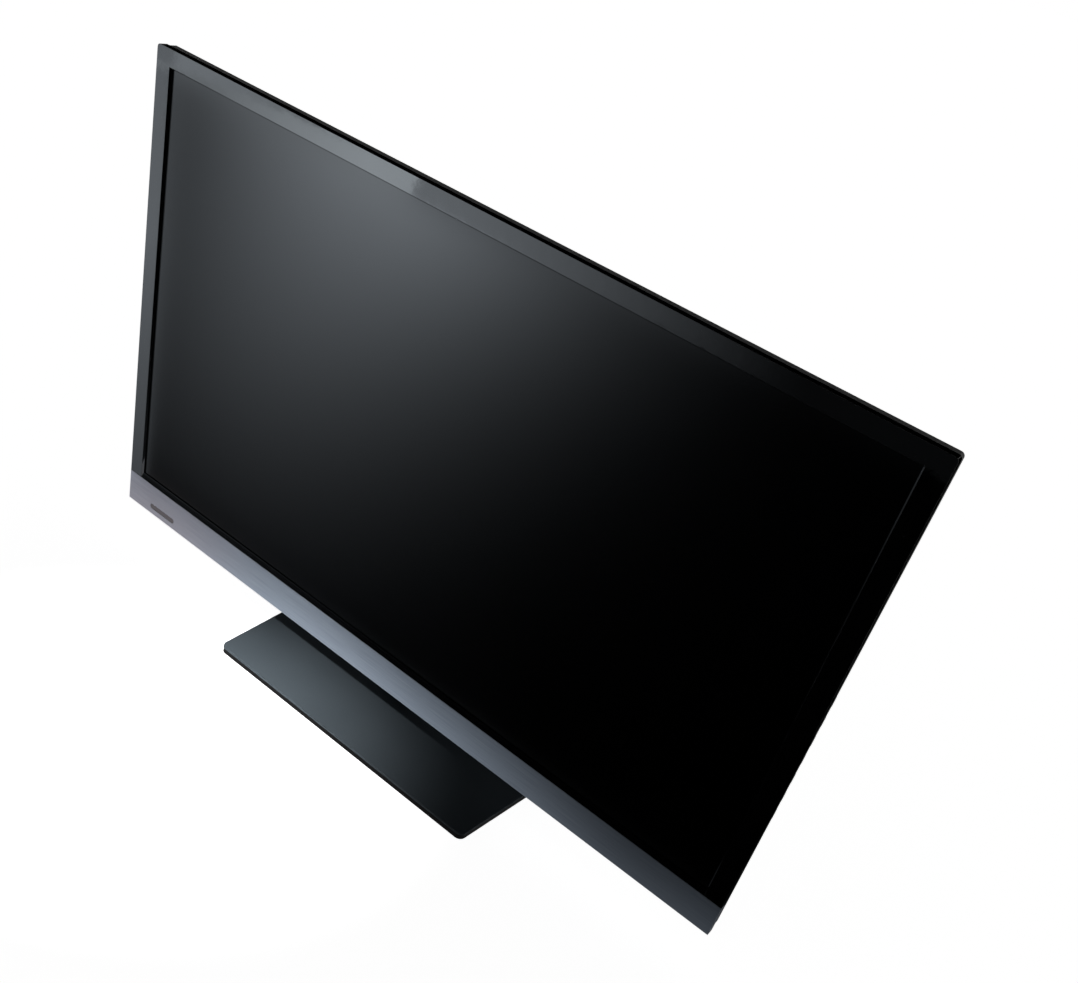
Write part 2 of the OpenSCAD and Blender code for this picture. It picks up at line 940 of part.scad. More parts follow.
module speaker_left() {
  color("#242427")
    head()
      translate([-speaker_x, 0, 0])
        speaker();
}

module speaker_right() {
  color("#242427")
    head()
      translate([speaker_x, 0, 0])
        speaker();
}

module key_board() {
  color("#1f5a38")
    head() {
      box(key_x, y_cover + 0.6, button_z - 16,
        [board_t, y_shoulder - y_cover - 0.7, 6 * button_pitch + 32]);
      for (i = [0 : 6])
        translate([key_x + board_t, button_y, button_z + i * button_pitch]) {
          box(0, -2.6, -2.6, [switch_t, 5.2, 5.2]);
          rotate([0, 90, 0])
            cylinder(r = 1.5, h = switch_t + plunger_h);
        }
    }
}

// Push button number i, counted from the lowest
module button(i) {
  color("#1c1c1e")
    head()
      translate([0, button_y, button_z + i * button_pitch]) {
        box(flange_x, -button_w / 2, -button_h / 2,
          [side_x + button_proud - flange_x, button_w, button_h]);
        box(flange_x, -button_w / 2 - flange_lip, -button_h / 2 - flange_lip,
          [flange_t, button_w + 2 * flange_lip, button_h + 2 * flange_lip]);
      }
}

vesa_at = [for (side = [-1, 1], up = [-1, 1]) [side * vesa / 2, body_h / 2 + up * vesa / 2]];
post_w = 34;
post_t = 1.6;
post_back = y_wall - 1;
insert_r = 6;
insert_depth = 9;

module mount_posts() {
  color("#8f9295")
    head()
      for (at = vesa_at)
        translate([at[0], 0, at[1]])
          difference() {
            box(-post_w / 2, y_back, -post_w / 2, [post_w, post_back - y_back, post_w]);
            box(post_t - post_w / 2, y_back - over, post_t - post_w / 2,
              [post_w - 2 * post_t, post_back - y_back - post_t + over, post_w - 2 * post_t]);
            rod(0, y_back, 0, insert_r - 1 + running_fit, body_depth);
          }
}

module mount_inserts() {
  color("#c0a25a")
    head()
      for (at = vesa_at)
        difference() {
          union() {
            rod(at[0], post_back, at[1], insert_r, body_depth - post_back);
            rod(at[0], post_back - insert_depth, at[1], insert_r - 1, insert_depth + over);
          }
          rod(at[0], post_back - insert_depth - over, at[1], vesa_r, body_depth);
        }
}

bracket_w = 150;
bracket_h = 116;
bracket_z = 16;
bracket_leg = 12;

module stand_bracket() {
  w = bracket_w;
  low = bracket_z;
  leg = bracket_leg;
  color("#7f8285")
    head()
      difference() {
        union() {
          box(-w / 2, bracket_y, low, [w, bracket_t, bracket_h]);
          for (side = [-1, 1], z = [module_z + 4, low + bracket_h - leg])
            box(side * (w / 2 - leg / 2) - leg / 2, y_back, z, [leg, bracket_y - y_back, leg]);
        }
        for (at = stand_screw_at)
          rod(at[0], bracket_y - over, at[1], 2.4 + running_fit, bracket_t + 2 * over);
      }
}

// Solid and hollow of the thick middle of the rear cover
module bulge_solid() {
  y0 = edge_depth - 0.5;
  taper(y0, bulge_half(y0), bulge_z0, bulge_roof(y0), body_depth, bulge_w / 2, bulge_z1);
}

module bulge_hollow() {
  y0 = y_shoulder - over;
  w = cover_wall;
  taper(y0, bulge_half(y0) - w, bulge_z0 + w, bulge_roof(y0) - w,
    y_wall, bulge_half(y_wall) - w, bulge_roof(y_wall) - w);
}

module rear_cover() {
  w = cover_wall;
  far = bulge_w;
  color("#161617")
    head()
      difference() {
        union() {
          difference() {
            union() {
              translate([0, 0, cover_inset])
                back_from(y_cover, edge_depth - y_cover)
                  polygon(round_rect(cover_w, cover_h, corner_r));
              bulge_solid();
            }
            box(side_wall - side_x, 0, cover_inset + side_wall,
              [cover_w - 2 * side_wall, y_shoulder, cover_h - 2 * side_wall]);
            bulge_hollow();
          }
          intersection() {
            bulge_solid();
            union() {
              box(-far, y_shoulder, pocket_z - w, [far - socket_x + w, body_depth, pocket_h + 2 * w]);
              box(socket_x - w, y_shoulder, inlet_z - inlet_pocket_h / 2 - w,
                [far, body_depth, inlet_pocket_h + 2 * w]);
              box(well_x - w, well_floor - w, well_z - w, [well_w + 2 * w, body_depth, well_h + 2 * w]);
              box(-recess_w / 2 - w, recess_floor - w, bulge_z0,
                [recess_w + 2 * w, body_depth, recess_top + w - bulge_z0]);
            }
          }
          box(-far / 2 - bulge_flare, y_shoulder, pocket_z,
            [far / 2 + bulge_flare - socket_x + w, w, pocket_h]);
          box(socket_x - w, y_shoulder, inlet_z - inlet_pocket_h / 2,
            [far / 2 + bulge_flare - socket_x + w, w, inlet_pocket_h]);
          for (at = cover_screw_at)
            rod(at[0], boss_end + 0.1, at[1], boss_r + 0.6, edge_depth - boss_end - 0.1);
        }
        // Socket pockets, jack well and the recess for the neck
        box(-far, edge_depth, pocket_z, [far - socket_x, body_depth, pocket_h]);
        box(socket_x, edge_depth, inlet_z - inlet_pocket_h / 2, [far, body_depth, inlet_pocket_h]);
        box(well_x, well_floor, well_z, [well_w, body_depth, well_h]);
        box(-recess_w / 2, recess_floor, -over, [recess_w, body_depth, recess_top + over]);
        // Cut-outs for the sockets
        socket_cut(0, network_w, network_h);
        for (i = [1 : 4])
          socket_cut(i, hdmi_w, hdmi_h);
        for (i = [5 : 6])
          socket_cut(i, usb_w, usb_h);
        box(socket_x - w - over, inlet_mid - inlet_h / 2 - fit_gap, inlet_z - inlet_w / 2 - fit_gap,
          [w + 2 * over, inlet_h + 2 * fit_gap, inlet_w + 2 * fit_gap]);
        for (i = [0 : 4])
          rod(well_x + 16 + i * jack_pitch, well_floor - w - over, jack_z, jack_r + fit_gap, w + 2 * over);
        rod(antenna_x, well_floor - w - over, jack_z, antenna_r + fit_gap, w + 2 * over);
        // Wall-mount inserts, stand screws and edge screws
        for (at = vesa_at)
          rod(at[0], y_wall - over, at[1], insert_r + fit_gap, w + 2 * over);
        for (at = stand_screw_at)
          rod(at[0], recess_floor - w - over, at[1], 2.7, w + 2 * over);
        for (at = cover_screw_at) {
          rod(at[0], 0, at[1], screw_r + 0.3, edge_depth);
          rod(at[0], head_seat, at[1], screw_head_r + 0.3, edge_depth);
        }
        // Buttons
        for (i = [0 : 6])
          box(side_x - side_wall - over, button_y - button_w / 2 - button_gap,
            button_z + i * button_pitch - button_h / 2 - button_gap,
            [side_wall + 2 * over, button_w + 2 * button_gap, button_h + 2 * button_gap]);
        // Ventilation slots in the back and sound slots below the speakers
        for (i = [0 : vent_count - 1])
          box((i - (vent_count - 1) / 2) * vent_pitch - vent_w / 2, y_wall - over, vent_z,
            [vent_w, w + 2 * over, vent_h]);
        for (side = [-1, 1], i = [0 : 15])
          box(side * speaker_x + (i - 7.5) * 7 - 1.5, speaker_y + 3, bulge_z0 - over,
            [3, speaker_d - 6, w + 2 * over]);
      }
}

vent_pitch = 9;
vent_gap = 3;
vent_z = body_h / 2 + vesa / 2 - post_w / 2 - vent_h - vent_gap;

// Cut-out for socket number i of the row
module socket_cut(i, w, h) {
  box(-socket_x - over, y_parts - fit_gap, socket_z0 + i * socket_pitch - w / 2 - fit_gap,
    [cover_wall + 2 * over, h + 2 * fit_gap, w + 2 * fit_gap]);
}

module cover_screws() {
  color("#2a2a2c")
    head()
      for (at = cover_screw_at)
        screw(at[0], head_seat, at[1], 10);
}

neck_rise = 78;
neck_top = head_z + plate_z0 + neck_rise;
neck_wall = 4;
cap_t = 2;
cap_plug = 6;

module stand_neck() {
  plate_y = head_y + recess_floor;
  color("#19191b")
    difference() {
      union() {
        translate([0, neck_y, disc_top])
          cylinder(r = neck_r, h = neck_top - disc_top);
        box(-plate_w / 2, plate_y, head_z + plate_z0, [plate_w, plate_t, plate_h]);
        for (side = [-1, 1])
          box(side * (neck_r - 5) - 3, plate_y, head_z + plate_z0,
            [6, neck_y - plate_y, neck_top - head_z - plate_z0]);
      }
      translate([0, neck_y, disc_top - over])
        cylinder(r = neck_r - neck_wall, h = neck_top);
      for (at = stand_screw_at)
        rod(at[0], plate_y - over, head_z + at[1], 2.7, plate_t + 2 * over);
    }
}

module neck_cap() {
  plate_back = head_y + recess_floor + plate_t;
  color("#1f1f21")
    difference() {
      translate([0, neck_y, neck_top - cap_plug]) {
        cylinder(r = neck_r - neck_wall - fit_gap, h = cap_plug + cap_t);
        translate([0, 0, cap_plug])
          cylinder(r = neck_r, h = cap_t);
      }
      box(-neck_r, plate_back + fit_gap - 2 * neck_r, neck_top - over,
        [2 * neck_r, 2 * neck_r, cap_t + 2 * over]);
    }
}

module stand_screws() {
  y = recess_floor + plate_t;
  color("#3a3a3c")
    head()
      for (at = stand_screw_at) {
        rod(at[0], bracket_y - 1, at[1], 2.4, y - bracket_y + 1);
        rod(at[0], y, at[1], 4.5, 3);
      }
}

module turntable() {
  color("#85888b")
    translate([0, neck_y, disc_z])
      difference() {
        cylinder(r = disc_r, h = disc_top - disc_z);
        translate([0, 0, -over])
          cylinder(r = pivot_r + running_fit, h = base_h);
        rotate([0, 0, -90 - stop_swing])
          translate([0, 0, -over])
            rotate_extrude(angle = 2 * stop_swing)
              translate([stop_at - stop_r - stop_gap, 0])
                square([2 * stop_r + 2 * stop_gap, base_h]);
      }
}

module slip_ring() {
  color("#e6e4dc")
    translate([0, neck_y, base_z + weight_t])
      difference() {
        cylinder(r = slip_out, h = slip_t);
        translate([0, 0, -over])
          cylinder(r = slip_in, h = slip_t + 2 * over);
      }
}

pin_top = disc_top + 0.2;

module pivot_pin() {
  color("#a9acaf")
    translate([0, neck_y, 0]) {
      translate([0, 0, base_z - 1.4])
        cylinder(r = pivot_r + 4, h = 1.4);
      translate([0, 0, base_z])
        cylinder(r = pivot_r, h = pin_top - base_z);
      translate([0, 0, pin_top])
        cylinder(r = thread_r, h = washer_t + nut_t + 2);
    }
}

module pivot_washer() {
  color("#b9bcbf")
    translate([0, neck_y, pin_top])
      difference() {
        cylinder(r = 14, h = washer_t);
        translate([0, 0, -over])
          cylinder(r = thread_r + running_fit, h = washer_t + 2 * over);
      }
}

module pivot_nut() {
  color("#b1b4b7")
    translate([0, neck_y, pin_top + washer_t])
      difference() {
        cylinder(r = 8.6, h = nut_t, $fn = 6);
        translate([0, 0, -over])
          cylinder(r = thread_r + running_fit, h = nut_t + 2 * over);
      }
}

// Middle of a round corner of the base from the centre line, at a distance behind the front edge
function base_corner(y) = base_w / 2 + y * tan(base_lean) - base_r / cos(base_lean);

// Round corners of the base: middle, then the angles where the arc starts and ends
base_corners = [
  [base_corner(base_r), base_r, -90, -base_lean],
  [base_corner(base_d - base_r), base_d - base_r, -base_lean, 90],
  [-base_corner(base_d - base_r), base_d - base_r, 90, 180 + base_lean],
  [-base_corner(base_r), base_r, 180 + base_lean, 270]
];

// Flat plate with round corners lying on the table, wider at the back, drawn in by an inset
module base_plate(inset, z, h) {
  translate([0, -base_d / 2, z])
    linear_extrude(h)
      polygon([
        for (c = base_corners)
          for (i = [0 : arc_steps])
            let (a = c[2] + (c[3] - c[2]) * i / arc_steps)
              [c[0] + (base_r - inset) * cos(a), c[1] + (base_r - inset) * sin(a)]
      ]);
}

base_screw_at = [for (x = [-1, 1], y = [-1, 1]) [x * (base_w / 2 - 22), y * (base_d / 2 - 22)]];

module base_cover() {
  color("#121214")
    difference() {
      union() {
        difference() {
          base_plate(0, base_z, base_h);
          base_plate(base_wall, base_z - over, base_h - base_wall + over);
        }
        for (at = base_screw_at)
          translate([at[0], at[1], base_z + weight_t])
            cylinder(r = 4, h = base_h - weight_t - 0.5);
      }
      translate([0, neck_y, base_z])
        cylinder(r = neck_r + 0.4, h = base_h + over);
      for (at = base_screw_at)
        translate([at[0], at[1], base_z])
          cylinder(r = screw_r + running_fit, h = weight_t + 3.2);
    }
}

module base_weight() {
  color("#6f7274")
    difference() {
      union() {
        base_plate(base_wall + weight_gap, base_z, weight_t);
        translate([0, neck_y - stop_at, base_z + weight_t - 0.5])
          cylinder(r = stop_r, h = disc_top - base_z - weight_t);
      }
      translate([0, neck_y, base_z - over])
        cylinder(r = pivot_r + running_fit, h = weight_t + 2 * over);
      for (at = base_screw_at)
        translate([at[0], at[1], base_z - over])
          cylinder(r = screw_r + 0.3, h = weight_t + 2 * over);
    }
}

module base_screws() {
  color("#9a9c9e")
    for (at = base_screw_at)
      translate([at[0], at[1], base_z]) {
        translate([0, 0, -1.2])
          cylinder(r = screw_head_r, h = 1.2);
        cylinder(r = screw_r, h = weight_t + 2.8);
      }
}

module base_feet() {
  color("#242425")
    for (x = [-1, 0, 1], y = [-1, 1])
      translate([x * (base_w / 2 - 46), y * (base_d / 2 - 22), 0])
        cylinder(r = 9, h = foot_h);
}

front_bezel();
bottom_strip();
sensor_window();
sensor_board();
screen_gasket();
panel_front_frame();
lcd_panel();
middle_frame();
prism_sheet();
diffuser_sheet();
light_guide();
reflector_sheet();
led_bars();
panel_chassis();
source_boards();
control_board();
control_shield();
panel_ribbons();
signal_ribbon();
main_board();
main_heatsink();
hdmi_sockets();
usb_sockets();
network_socket();
audio_jacks();
antenna_socket();
power_board();
power_capacitors();
power_transformers();
power_heatsinks();
mains_inlet();
power_harness();
board_screws();
speaker_left();
speaker_right();
key_board();
button(0);  // volume_down_button
button(1);  // volume_up_button
button(2);  // channel_down_button
button(3);  // channel_up_button
button(4);  // input_button
button(5);  // home_button
button(6);  // power_button
mount_posts();
mount_inserts();
stand_bracket();
rear_cover();
cover_screws();
stand_neck();
neck_cap();
stand_screws();
turntable();
slip_ring();
pivot_pin();
pivot_washer();
pivot_nut();
base_cover();
base_weight();
base_screws();
base_feet();
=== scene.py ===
import json
import math

import bmesh
import bpy
from mathutils import Matrix, Vector

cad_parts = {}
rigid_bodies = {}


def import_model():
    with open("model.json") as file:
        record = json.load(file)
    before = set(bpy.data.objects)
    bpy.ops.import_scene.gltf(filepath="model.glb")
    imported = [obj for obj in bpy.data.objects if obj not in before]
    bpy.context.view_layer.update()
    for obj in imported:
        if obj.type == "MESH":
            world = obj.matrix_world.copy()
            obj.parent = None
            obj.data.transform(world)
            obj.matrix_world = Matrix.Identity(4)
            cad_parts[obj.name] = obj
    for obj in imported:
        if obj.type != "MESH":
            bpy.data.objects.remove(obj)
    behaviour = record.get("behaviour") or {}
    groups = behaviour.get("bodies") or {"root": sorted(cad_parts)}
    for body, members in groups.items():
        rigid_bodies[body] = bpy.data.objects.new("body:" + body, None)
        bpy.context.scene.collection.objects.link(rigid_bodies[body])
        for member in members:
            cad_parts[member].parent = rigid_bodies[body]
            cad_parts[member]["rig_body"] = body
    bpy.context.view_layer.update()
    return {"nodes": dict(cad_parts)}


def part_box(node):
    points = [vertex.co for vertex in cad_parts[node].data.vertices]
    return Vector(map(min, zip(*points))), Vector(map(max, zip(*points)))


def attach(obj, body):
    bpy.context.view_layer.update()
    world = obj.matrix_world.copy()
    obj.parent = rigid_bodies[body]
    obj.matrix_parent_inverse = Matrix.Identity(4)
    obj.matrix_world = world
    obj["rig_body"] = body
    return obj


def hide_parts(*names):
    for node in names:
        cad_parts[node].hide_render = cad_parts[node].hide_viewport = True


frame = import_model()
nodes = frame["nodes"]
scene = bpy.context.scene
mm = 0.001
print("frame loaded:", len(nodes), "nodes")


def linear(hexText):  # sRGB hex to linear RGBA
    channels = [int(hexText[i:i + 2], 16) / 255 for i in (1, 3, 5)]
    return (*(c / 12.92 if c <= 0.04045 else ((c + 0.055) / 1.055) ** 2.4 for c in channels), 1)


def addNode(tree, kind, inputs=None, **settings):  # adds one node with its settings, values and links
    node = tree.nodes.new(kind)
    for name, value in settings.items():
        setattr(node, name, value)
    for key, value in (inputs or {}).items():
        for source in value if isinstance(value, list) else [value]:  # a list links several to one socket
            if isinstance(source, bpy.types.NodeSocket):
                tree.links.new(source, node.inputs[key])
            else:
                node.inputs[key].default_value = source
    return node


def startMaterial(name):  # a material with an empty tree
    material = bpy.data.materials.new(name)
    material.use_nodes = True
    material.node_tree.nodes.clear()
    return material, material.node_tree


def endMaterial(tree, sockets):  # the shader with its values and links
    shader = addNode(tree, "ShaderNodeBsdfPrincipled", sockets)
    addNode(tree, "ShaderNodeOutputMaterial", {"Surface": shader.outputs["BSDF"]})


# The two noises added up mostly lie between low and high, and a grain is relief times its width high
noiseLook = {"low": 0.7, "high": 1.3, "grainDetail": 4.0, "patchDetail": 2.0, "relief": 0.3}


def varied(look, values, stretch=(1, 1, 1)):  # grain in the surface, and a slower change of tone and gloss
    material, tree = startMaterial(look["name"])
    place = addNode(tree, "ShaderNodeTexCoord").outputs["Object"]
    drawn = addNode(tree, "ShaderNodeMapping", {"Vector": place, "Scale": stretch}).outputs["Vector"]
    grain = addNode(tree, "ShaderNodeTexNoise", {
        "Vector": drawn, "Scale": 1 / (look["grainMm"] * mm), "Detail": noiseLook["grainDetail"]}).outputs[0]
    patch = addNode(tree, "ShaderNodeTexNoise", {
        "Vector": place, "Scale": 1 / (look["patchMm"] * mm), "Detail": noiseLook["patchDetail"]}).outputs[0]
    both = addNode(tree, "ShaderNodeMath", {0: grain, 1: patch}, operation="ADD").outputs[0]
    span = {"Value": both, "From Min": noiseLook["low"], "From Max": noiseLook["high"]}
    share = addNode(tree, "ShaderNodeMapRange", span).outputs[0]
    tone = addNode(tree, "ShaderNodeMix", {0: share, 6: linear(look["dark"]), 7: linear(look["light"])},
                   data_type="RGBA").outputs[2]  # a Mix node's colour sockets are 6, 7 and 2
    rough = addNode(tree, "ShaderNodeMapRange",
                    {**span, "To Min": look["smooth"], "To Max": look["rough"]}).outputs[0]
    bump = addNode(tree, "ShaderNodeBump", {
        "Height": grain, "Strength": look["bump"],
        "Distance": look["grainMm"] * mm * noiseLook["relief"]}).outputs[0]
    endMaterial(tree, {**values, "Base Color": tone, "Roughness": rough, "Normal": bump})
    return material


finishes = {}  # the record's slot to the Blender material

# Polished ABS: deep black with a mirror gloss, a faint orange peel from the mould and wiping marks
finishes["gloss_black"] = varied(
    {"name": "polishedBlackAbs", "dark": "#050506", "light": "#09090b", "smooth": 0.035, "rough": 0.06,
     "grainMm": 14, "patchMm": 90, "bump": 0.012},
    {"IOR": 1.53})
# Its slope under the screen has its reflection tinted near black, a painted shade for the shadowed slope
# between strip and screen, so it mirrors next to nothing
lipLook = {"behindMm": 0.25, "sideMm": 22.1, "heightMm": 7.6, "mirror": "#101010"}
bezelLow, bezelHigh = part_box("front_bezel")
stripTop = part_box("bottom_strip")[1].z
tree = finishes["gloss_black"].node_tree
place = tree.nodes["Texture Coordinate"].outputs["Object"]
axes = addNode(tree, "ShaderNodeSeparateXYZ", {"Vector": place}).outputs
aside = addNode(tree, "ShaderNodeMath", {0: axes["X"]}, operation="ABSOLUTE").outputs[0]
lipShadeMask = 1.0
for distance, side, edge in (
        (aside, "LESS_THAN", bezelHigh.x - lipLook["sideMm"] * mm),
        (axes["Z"], "LESS_THAN", stripTop + lipLook["heightMm"] * mm),
        (axes["Y"], "GREATER_THAN", bezelLow.y + lipLook["behindMm"] * mm)):
    inside = addNode(tree, "ShaderNodeMath", {0: distance, 1: edge}, operation=side).outputs[0]
    lipShadeMask = addNode(tree, "ShaderNodeMath", {0: lipShadeMask, 1: inside}, operation="MULTIPLY").outputs[0]
# Painted shade: the reflection on the slope under the screen is tinted near black
mirror = addNode(tree, "ShaderNodeMix", {0: lipShadeMask, 6: linear("#ffffff"), 7: linear(lipLook["mirror"])},
                 data_type="RGBA").outputs[2]
tree.links.new(mirror, tree.nodes["Principled BSDF"].inputs["Specular Tint"])

# Anti-glare film over the dark liquid crystal: a fine haze that spreads every reflection into a soft glow.
# The real haze grain is 0.05 mm, drawn here at 1.1 mm so that it shows.
finishes["screen"] = varied(
    {"name": "hazeCoatedPanelFilm", "dark": "#010102", "light": "#030304", "smooth": 0.11, "rough": 0.14,
     "grainMm": 1.1, "patchMm": 160, "bump": 0.01},
    {"IOR": 1.5, "Specular IOR Level": 0.35})

# Moulded ABS with a spark-eroded mould: dull black with a fine even grain
finishes["cover_black"] = varied(
    {"name": "texturedBlackAbs", "dark": "#101011", "light": "#141415", "smooth": 0.5, "rough": 0.66,
     "grainMm": 1.6, "patchMm": 60, "bump": 0.35},
    {"IOR": 1.53})

# Moulded ABS buttons: a little lighter than the cover, smoothed by fingers
finishes["button_black"] = varied(
    {"name": "satinBlackAbs", "dark": "#121213", "light": "#1c1c1e", "smooth": 0.32, "rough": 0.45,
     "grainMm": 0.9, "patchMm": 9, "bump": 0.12},
    {"IOR": 1.53})

# Moulded polycarbonate inside the set: flat black with faint flow marks
finishes["panel_black"] = varied(
    {"name": "mouldedPolycarbonate", "dark": "#131314", "light": "#1e1e20", "smooth": 0.45, "rough": 0.6,
     "grainMm": 2.5, "patchMm": 40, "bump": 0.15},
    {"IOR": 1.58})

# Painted zinc casting: satin black with a slight orange peel
finishes["neck_black"] = varied(
    {"name": "paintedZincCasting", "dark": "#0c0c0e", "light": "#141416", "smooth": 0.25, "rough": 0.36,
     "grainMm": 3.5, "patchMm": 45, "bump": 0.06},
    {"IOR": 1.5})

# Moulded rubber: charcoal, dull, dusty in patches
finishes["rubber"] = varied(
    {"name": "mouldedRubber", "dark": "#161617", "light": "#262627", "smooth": 0.75, "rough": 0.92,
     "grainMm": 0.8, "patchMm": 7, "bump": 0.3},
    {"IOR": 1.52})

# Closed-cell foam strip: dark, soft, pitted
finishes["foam"] = varied(
    {"name": "closedCellFoam", "dark": "#101011", "light": "#232324", "smooth": 0.88, "rough": 0.98,
     "grainMm": 1.2, "patchMm": 25, "bump": 0.6},
    {"IOR": 1.45})

# Turned acetal: milky white and waxy
finishes["acetal"] = varied(
    {"name": "turnedAcetal", "dark": "#cfcfc9", "light": "#e4e4de", "smooth": 0.3, "rough": 0.42,
     "grainMm": 1.5, "patchMm": 14, "bump": 0.05},
    {"IOR": 1.48})

# Zinc-plated sheet steel: grey with a clouded bloom and rolling lines along the sheet
finishes["steel"] = varied(
    {"name": "zincPlatedSteel", "dark": "#7d8389", "light": "#a5aab0", "smooth": 0.3, "rough": 0.48,
     "grainMm": 1.4, "patchMm": 18, "bump": 0.08},
    {"Metallic": 1.0}, (0.08, 1, 1))

# Nickel-plated brass shells: bright, slightly clouded
finishes["plated"] = varied(
    {"name": "nickelPlatedBrass", "dark": "#a7a59f", "light": "#cbc9c3", "smooth": 0.16, "rough": 0.3,
     "grainMm": 0.9, "patchMm": 6, "bump": 0.05},
    {"Metallic": 1.0})

# Black-oxide steel screws: near black with a brownish metal glint
finishes["black_steel"] = varied(
    {"name": "blackOxideSteel", "dark": "#1b1a1a", "light": "#2c2a29", "smooth": 0.32, "rough": 0.48,
     "grainMm": 0.6, "patchMm": 3, "bump": 0.15},
    {"Metallic": 0.85})

# Turned brass inserts: warm yellow with turning rings
finishes["brass"] = varied(
    {"name": "turnedBrass", "dark": "#9c7f3c", "light": "#c7a95f", "smooth": 0.22, "rough": 0.36,
     "grainMm": 0.7, "patchMm": 5, "bump": 0.12},
    {"Metallic": 1.0}, (1, 4, 1))

# Extruded aluminium: pale grey with die lines along the fins
finishes["aluminium"] = varied(
    {"name": "extrudedAluminium", "dark": "#8b8e92", "light": "#b3b6ba", "smooth": 0.28, "rough": 0.45,
     "grainMm": 0.9, "patchMm": 12, "bump": 0.1},
    {"Metallic": 1.0}, (1, 1, 0.05))

# Polyester tape round the coils: yellow, uneven where it laps
finishes["coil_yellow"] = varied(
    {"name": "polyesterCoilTape", "dark": "#b78f22", "light": "#e0bb46", "smooth": 0.2, "rough": 0.38,
     "grainMm": 2.2, "patchMm": 8, "bump": 0.15},
    {"IOR": 1.57}, (1, 3, 1))

# Shrunk PVC sleeve on the capacitors: blue-black with a dull shine
finishes["capacitor"] = varied(
    {"name": "shrunkPvcSleeve", "dark": "#1b1b28", "light": "#2d2c3d", "smooth": 0.25, "rough": 0.4,
     "grainMm": 1.4, "patchMm": 6, "bump": 0.08},
    {"IOR": 1.54})

# Extruded PVC insulation: grey strands side by side
finishes["cable"] = varied(
    {"name": "extrudedPvcInsulation", "dark": "#4a4a4d", "light": "#77777b", "smooth": 0.35, "rough": 0.5,
     "grainMm": 1.6, "patchMm": 14, "bump": 0.3},
    {"IOR": 1.54}, (0.05, 1, 1))

# Polyimide ribbon: amber film with the darker lines of its copper
finishes["ribbon"] = varied(
    {"name": "polyimideRibbon", "dark": "#7a4a17", "light": "#b87a2c", "smooth": 0.22, "rough": 0.36,
     "grainMm": 0.8, "patchMm": 20, "bump": 0.1},
    {"IOR": 1.6}, (1, 1, 0.03))

# Polyester optical film: pearl white with fine ribs, drawn 16 times the real 0.05 mm so that they show
finishes["film"] = varied(
    {"name": "polyesterOpticalFilm", "dark": "#cdd1d3", "light": "#e7eaeb", "smooth": 0.3, "rough": 0.45,
     "grainMm": 0.8, "patchMm": 90, "bump": 0.12},
    {"IOR": 1.6}, (0.02, 1, 1))

# Foamed polyester reflector: bright matt white with a soft mottle
finishes["white_sheet"] = varied(
    {"name": "foamedPolyesterSheet", "dark": "#e2e3e2", "light": "#f1f2f1", "smooth": 0.62, "rough": 0.75,
     "grainMm": 1.8, "patchMm": 70, "bump": 0.08},
    {"IOR": 1.55})

# Smoked acrylic over the remote-control sensor: glossy grey-black, a little depth in its tone
finishes["smoked_window"] = varied(
    {"name": "smokedAcrylic", "dark": "#08090b", "light": "#101114", "smooth": 0.06, "rough": 0.12,
     "grainMm": 6, "patchMm": 20, "bump": 0.01},
    {"IOR": 1.49, "Coat Weight": 0.2, "Coat Roughness": 0.03, "Coat Tint": linear("#e4f0ff")})

# Satin lacquer on the base: slate grey top with a fine flake, and sides painted near black as painted shade
# on its edge.
# The flake is drawn at 0.9 mm so that it shows.
baseLook = {"name": "satinSlateLacquer", "dark": "#40474c", "light": "#464d52",
            "smooth": 0.66, "rough": 0.74, "grainMm": 0.9, "patchMm": 120, "bump": 0.03,
            "side": "#070708", "rimMm": 3.1, "fadeMm": 0.4}
finishes["base_black"] = varied(baseLook, {"IOR": 1.5, "Specular IOR Level": 0.05})
tree = finishes["base_black"].node_tree
shader = tree.nodes["Principled BSDF"]
place = tree.nodes["Texture Coordinate"].outputs["Object"]
height = addNode(tree, "ShaderNodeSeparateXYZ", {"Vector": place}).outputs["Z"]
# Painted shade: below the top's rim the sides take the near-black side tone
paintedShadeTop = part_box("base_cover")[1].z - baseLook["rimMm"] * mm
onTop = addNode(tree, "ShaderNodeMapRange", {
    "Value": height, "From Min": paintedShadeTop, "From Max": paintedShadeTop + baseLook["fadeMm"] * mm}).outputs[0]
flake = shader.inputs["Base Color"].links[0].from_socket
tone = addNode(tree, "ShaderNodeMix", {0: onTop, 6: linear(baseLook["side"]), 7: flake},
               data_type="RGBA").outputs[2]
tree.links.new(tone, shader.inputs["Base Color"])

